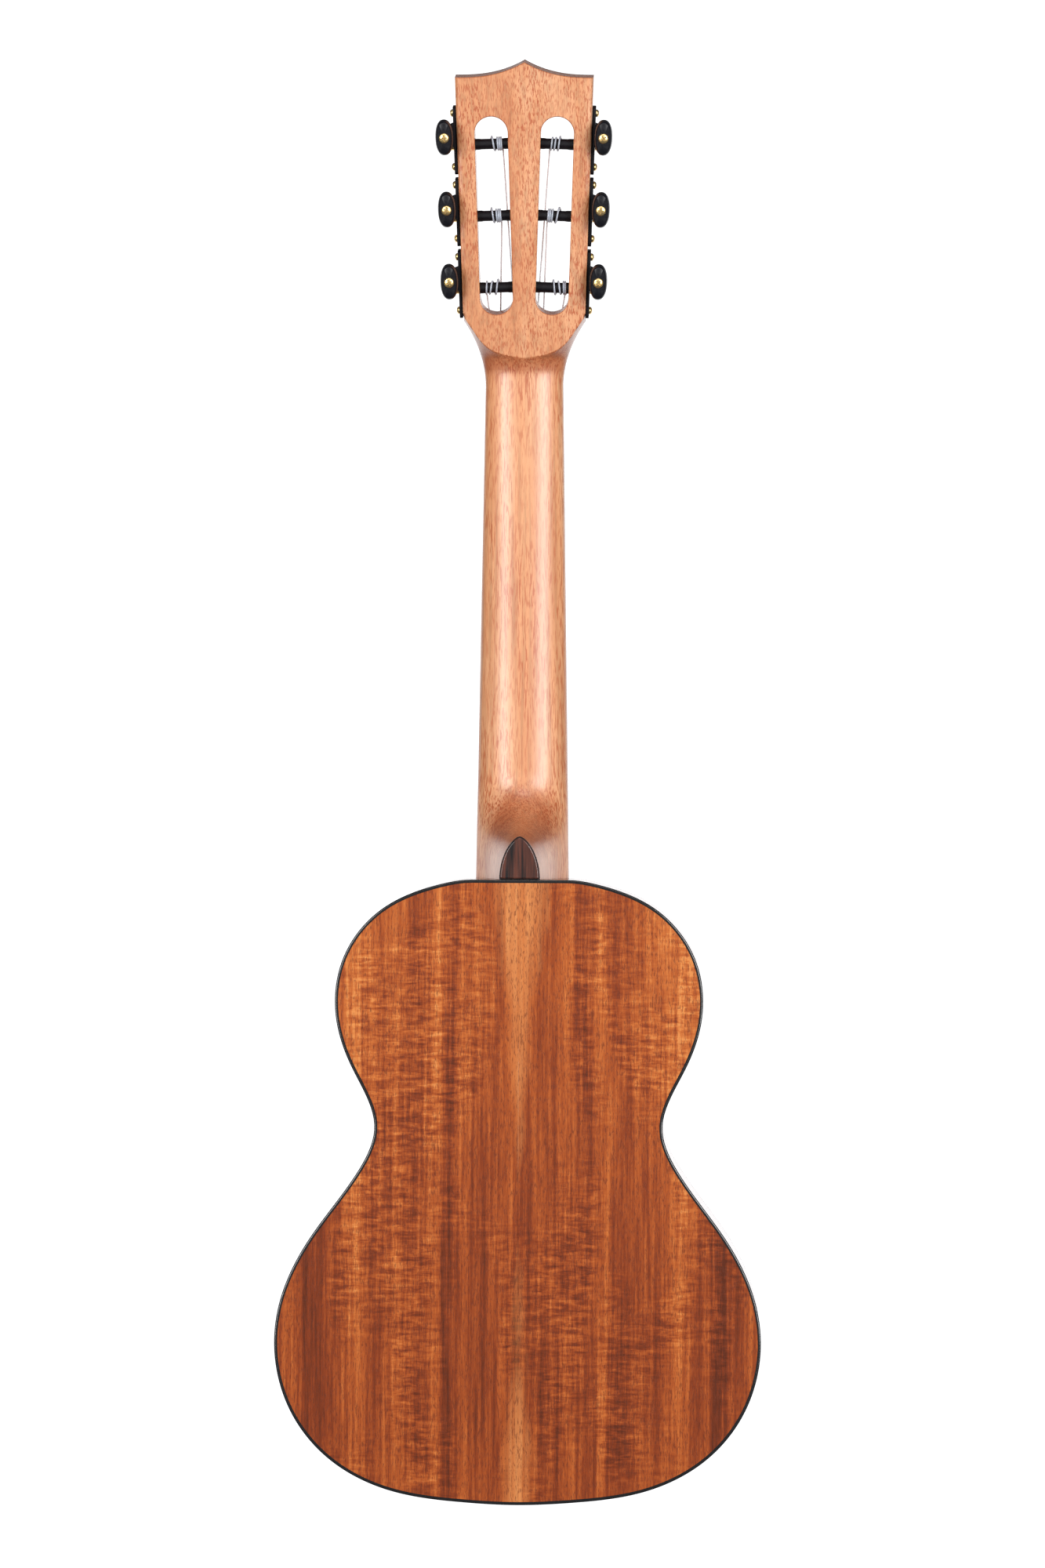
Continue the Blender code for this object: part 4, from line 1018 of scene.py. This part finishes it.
def gear_shape(side):
    """The gear, whose slanted teeth mesh with the worm."""
    pitch = tau / GEAR_TEETH
    outline = []
    rising = ((-0.27, 0.0), (-0.21, 0.35), (-0.15, 0.8), (-0.1, 1.0))
    profile = [*rising, *((-offset, rise) for offset, rise in reversed(rising))]
    for tooth in range(GEAR_TEETH):
        for offset, rise in profile:
            radius = GEAR_ROOT_RADIUS + (GEAR_OUTER_RADIUS - GEAR_ROOT_RADIUS) * rise
            outline.append((radius, (tooth + 0.5 + offset) * pitch))
    slant = WORM_PITCH / (tau * WORM_PITCH_RADIUS) / GEAR_PITCH_RADIUS
    rows = []
    for share in (-0.5, -0.25, 0.0, 0.25, 0.5):
        x = GEAR_FACE * share
        points = [(r, angle + slant * x) for r, angle in outline]
        rows.append([(side * WORM_OUT + x, r * cos(a), r * sin(a)) for r, a in points])
    return skin(rows)


def post_shape():
    """The post along Z, from inside the head out to the gear: waisted where the string lies."""
    r = POST_RADIUS
    profile = [(r * 0.9, -POST_REACH), (r, -POST_REACH + 0.3 * MM), (r, -22 * MM), (r * 0.94, -21 * MM)]
    profile += [(r * 0.94, -11 * MM), (r, -10 * MM), (r, PLATE_SIZE[0] - 0.1 * MM)]
    return turned(profile, 40)


def make_tuners():
    """Six tuners. Their screw heads are made once and copied."""
    shaft_screw = screw_head(2.35 * MM, 1.0 * MM)
    small_screw = screw_head(1.75 * MM, 1.5 * MM)
    gear_screw = screw_head(1.75 * MM, 1.0 * MM)
    for side, label, number in TUNERS:
        name = f"{label}_{number}"
        at = tuner_frame(side, number)
        knob = at @ Matrix.Translation((side * WORM_OUT, WORM_RISE, 0))
        roller_body, knob_body = "roller_" + name, "knob_" + name

        def place(piece, shape, look, body, matrix, replaces=(), bevel=0.0):
            add(f"{piece}_{name}", shape, look, body, replaces, bevel=bevel, frame_matrix=matrix)

        place("base_plate", plate_shape(side), "black_metal", ROOT, at, ["plate_" + name], 0.25 * MM)
        for end, z in (("front", -EAR_POSITION), ("rear", EAR_POSITION)):
            place("ear_" + end, ear_shape(side, z), "black_metal", ROOT, at, (), 0.2 * MM)
        for end, y in (("lower", -SCREW_SPACING / 2), ("upper", SCREW_SPACING / 2)):
            turn = Matrix.Rotation(0.6 + y * 90, 4, "Z")
            seat = at @ Matrix.Translation((side * PLATE_SIZE[0], PLATE_RISE + y, 0)) @ outwards(side) @ turn
            place("plate_screw_" + end, small_screw.copy(), "gold", ROOT, seat)
        post = moved(post_shape(), outwards(side))
        place("string_post", post, "black_metal", roller_body, at, ["post_" + name])
        place("worm_wheel", gear_shape(side), "gold", roller_body, at, ["gear_" + name], 0.08 * MM)
        hub = turned([(2.4 * MM, PLATE_SIZE[0] + 0.1 * MM), (2.4 * MM, WORM_OUT - GEAR_FACE / 2 + 0.1 * MM)])
        place("wheel_hub", moved(hub, outwards(side)), "gold", roller_body, at)
        seat = at @ Matrix.Translation((side * (WORM_OUT + GEAR_FACE / 2), 0, 0)) @ outwards(side)
        place("wheel_screw", gear_screw.copy(), "gold", roller_body, seat)
        place("worm_screw", worm_shape(), "gold", knob_body, knob, ["worm_" + name])
        place("turning_button", button_shape(), "button", knob_body, knob, ["button_" + name])
        turn = Matrix.Rotation(0.25 + 0.9 * number + side, 4, "Z")
        seat = knob @ Matrix.Translation((0, 0, BUTTON_END + 0.02 * MM)) @ turn
        place("end_screw", shaft_screw.copy(), "gold", knob_body, seat)


# ---- The front: fingerboard, nut, bridge ----


def fret_place(fret):
    return -SCALE_LENGTH * (1 - 2 ** (-fret / 12))


def make_fingerboard():
    """The fingerboard, its frets, its pearl dots and the nut."""
    rows = []
    for z in (-0.05 * MM, BOARD_END):
        half = board_half_width(z)
        corners = ((-half, 0.02 * MM), (half, 0.02 * MM), (half, BOARD_TOP), (-half, BOARD_TOP))
        rows.append([(*corner, z) for corner in corners])
    add("board", skin(rows), "rosewood", replaces=["fingerboard"], bevel=0.3 * MM)
    crown = [(along * MM, 0.98 * rise * MM) for along, rise in arc(0.0, 0.0, 1.0, 0.0, pi, 8)]
    section = [(1.0 * MM, -0.3 * MM), *crown, (-1.0 * MM, -0.3 * MM)]
    for fret in range(1, FRETS + 1):
        z = fret_place(fret)
        half = board_half_width(z) - 0.15 * MM
        rows = [[(x, BOARD_TOP + rise, z + along) for along, rise in section] for x in (-half, half)]
        add(f"fret_{fret}", skin(rows), "nickel", bevel=0.2 * MM)
    for fret in (5, 7, 10, 12, 15):
        z = (fret_place(fret) + fret_place(fret - 1)) / 2
        for number, x in enumerate([-7 * MM, 7 * MM] if fret == 12 else [0.0], 1):
            dot = turned([(2.2 * MM, -0.6 * MM), (2.2 * MM, 0.04 * MM)])
            seat = Matrix.Translation((x, BOARD_TOP, z)) @ Matrix.Rotation(-pi / 2, 4, "X")
            add(f"dot_{fret}_{number}", moved(dot, seat), "pearl")
    half = NUT_HALF_WIDTH
    nut = box((-half, 0.05 * MM, 0.0), (half, 6.38 * MM, NUT_LENGTH - 0.05 * MM))
    add("nut_bar", nut, "bone", replaces=["nut"], bevel=0.5 * MM)


def make_bridge():
    """The tie bridge with its round-ended wings, the bed of its saddle, its tie block, and the saddle."""
    low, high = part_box("bridge")
    front, back = high.z, low.z
    saddle_z = -SCALE_LENGTH
    middle = (front + back) / 2
    outline = [(x, middle + z) for x, z in rounded(2 * high.x, front - back, 6 * MM, 8)]
    wings = prism(outline, level(0.02 * MM), level(4.3 * MM))
    add("bridge_wings", wings, "rosewood", replaces=["bridge"], bevel=1.2 * MM)
    inner = 27.5 * MM
    for name, lower, upper, height, bevel in (
        ("saddle_bed_front", saddle_z + 1.25 * MM, front - 0.5 * MM, 7.5 * MM, 0.5 * MM),
        ("saddle_bed_back", saddle_z - 4.2 * MM, saddle_z - 1.25 * MM, 7.5 * MM, 0.4 * MM),
        ("tie_block", back + 0.5 * MM, saddle_z - 8.2 * MM, 7.9 * MM, 0.5 * MM),
    ):
        add(name, box((-inner, 2 * MM, lower), (inner, height, upper)), "rosewood", bevel=bevel)
    bar = box((-26.8 * MM, 3.6 * MM, saddle_z - 1.2 * MM), (26.8 * MM, 10.38 * MM, saddle_z + 1.2 * MM))
    add("saddle_bar", bar, "bone", replaces=["saddle"], bevel=0.6 * MM)


# ---- The strings ----


def string_path(name):
    """The run of a string from the tie block, over the saddle, to the nut."""
    bridge_x, nut_x = COURSES[name][:2]
    return [
        Vector((bridge_x, 5.6 * MM, -SCALE_LENGTH - 7.6 * MM)),
        Vector((bridge_x, STRING_OVER_SADDLE - 0.1 * MM, -SCALE_LENGTH - 1.3 * MM)),
        Vector((bridge_x, STRING_OVER_SADDLE, -SCALE_LENGTH + 1.0 * MM)),
        Vector((nut_x, STRING_OVER_NUT, 0.2 * MM)),
        Vector((nut_x, STRING_OVER_NUT - 0.05 * MM, NUT_LENGTH)),
    ]


def coil_start(name):
    """(x along the post, angle round it) where a string reaches its post, in the tuner's frame."""
    side, number, post_x = COURSES[name][2:]
    at = tuner_frame(side, number)
    first = at.inverted() @ string_path(name)[-1]
    x = (at.inverted() @ Vector((post_x, (at @ Vector((-side * 15 * MM, 0, 0))).y, at.translation.z))).x
    down, back = first.y, first.z
    reach = POST_RADIUS + STRING_RADIUS
    distance = hypot(down, back)
    angle = atan2(back, down) + acos(reach / distance)
    if sin(angle) > 0.3:
        angle = atan2(back, down) - acos(reach / distance)
    return at, x, reach, angle


def make_strings():
    """Each string up to its post, the turns it makes on the post, and its loose curled end."""
    for name in COURSES:
        side, number = COURSES[name][2:4]
        at, x, reach, angle = coil_start(name)
        touch = at @ Vector((x, reach * cos(angle), reach * sin(angle)))
        run = string_path(name) + [touch]
        tube(name + "_run", run, STRING_RADIUS, "nylon", replaces=[name])
        tie = [Vector((run[0].x + dx, y, run[0].z + dz)) for dx, y, dz in knot_points()]
        tube(name + "_knot", through(tie, 4), STRING_RADIUS, "nylon", sides=8)
        body = f"roller_{'left' if side < 0 else 'right'}_{number}"
        wind(name, at, x, reach, angle, body)


def knot_points():
    """The loop round the tie block, from the bridge's channel over the block and back under itself."""
    return [
        (0.0, 5.6 * MM, 0.0),
        (0.0, 5.8 * MM, -1.0 * MM),
        (0.3 * MM, 8.1 * MM, -1.2 * MM),
        (0.6 * MM, 8.4 * MM, -3.6 * MM),
        (0.9 * MM, 8.4 * MM, -6.0 * MM),
        (1.0 * MM, 7.2 * MM, -7.1 * MM),
        (1.0 * MM, 5.6 * MM, -7.2 * MM),
    ]


def wind(name, at, x, reach, angle, body):
    """The turns of a string on its post, close at first and then loose, and its curled end."""
    turns, direction, lift = WINDINGS[name]
    spread = [0.0]
    for width in turns:
        spread.append(spread[-1] + width * MM)
    points = []
    count = 24 * len(turns)
    for i in range(count + 1):
        turn = i / 24
        place = float(np.interp(turn, range(len(spread)), spread))
        loose = reach + lift * MM * max(0.0, turn - len(turns) + 1)
        a = angle - tau * turn
        points.append(Vector((x + direction * place, loose * cos(a), loose * sin(a))))
    curl = (points[-1] - points[-2]).normalized()
    for i in range(12):
        curl = (curl + Vector((direction * 0.05, 0.16, -0.02 * i))).normalized()
        points.append(points[-1] + curl * 0.32 * MM)
    path = [at @ point for point in points]
    tube(name + "_winding", path, WINDING_RADIUS, "winding", body, sides=8)


# ---- The whole instrument ----


def make_looks():
    """Every material of the pieces, by the name that the pieces use for it."""
    return {
        "koa": koa_material("koa_back"),
        "koa_top": koa_material("koa_top"),
        "koa_side": koa_material("koa_side", mirrored=False, coat=0.9),
        "mahogany": mahogany_material("mahogany_satin"),
        "cap_ebony": dark_wood_material(
            "striped_ebony", srgb(20, 9, 9), srgb(106, 56, 40), (520, 520, 14), 0.9
        ),
        "rosewood": dark_wood_material("rosewood_dark", srgb(38, 24, 20), srgb(84, 54, 42)),
        "spruce": spruce_material("spruce_bare"),
        "inside": mahogany_material("mahogany_inside"),
        "binding": smooth_material("black_binding_gloss", (0.010, 0.010, 0.011), 0.22, coat=0.6),
        "rosette": smooth_material("rosette_wood", srgb(196, 150, 96), 0.3, coat=0.5, wear=0.25),
        "black_metal": smooth_material("black_plated_steel", (0.004, 0.003, 0.005), 0.5, specular=0.2),
        "gold": smooth_material("gold_plated_brass", (0.95, 0.68, 0.30), 0.3, 1.0),
        "nickel": smooth_material("nickel_fret_wire", (0.62, 0.60, 0.56), 0.25, 1.0),
        "button": smooth_material("black_button_satin", (0.004, 0.004, 0.007), 0.36, specular=0.3),
        "bone": smooth_material("bone_cream", srgb(236, 226, 200), 0.35),
        "pearl": smooth_material("pearl_dot", srgb(226, 228, 222), 0.18, coat=0.6, wear=0.1),
        "nylon": smooth_material("clear_nylon", srgb(238, 238, 242), 0.3, coat=0.3),
        "winding": smooth_material("silver_grey_string", srgb(168, 176, 188), 0.3, coat=0.3),
    }


# Every material, by the name that the pieces use for it.
LOOKS = make_looks()


def main():
    make_camera()
    make_studio()
    make_body()
    make_neck()
    make_headplate()
    make_tuners()
    make_fingerboard()
    make_bridge()
    make_strings()
    for name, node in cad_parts.items():
        if "brace" in name or "bracing" in name or name == "bridge_plate":
            node.material_slots[0].material = LOOKS["spruce"]
        if "lining" in name or "block" in name:
            node.material_slots[0].material = LOOKS["inside"]


main()
bpy.context.view_layer.update()
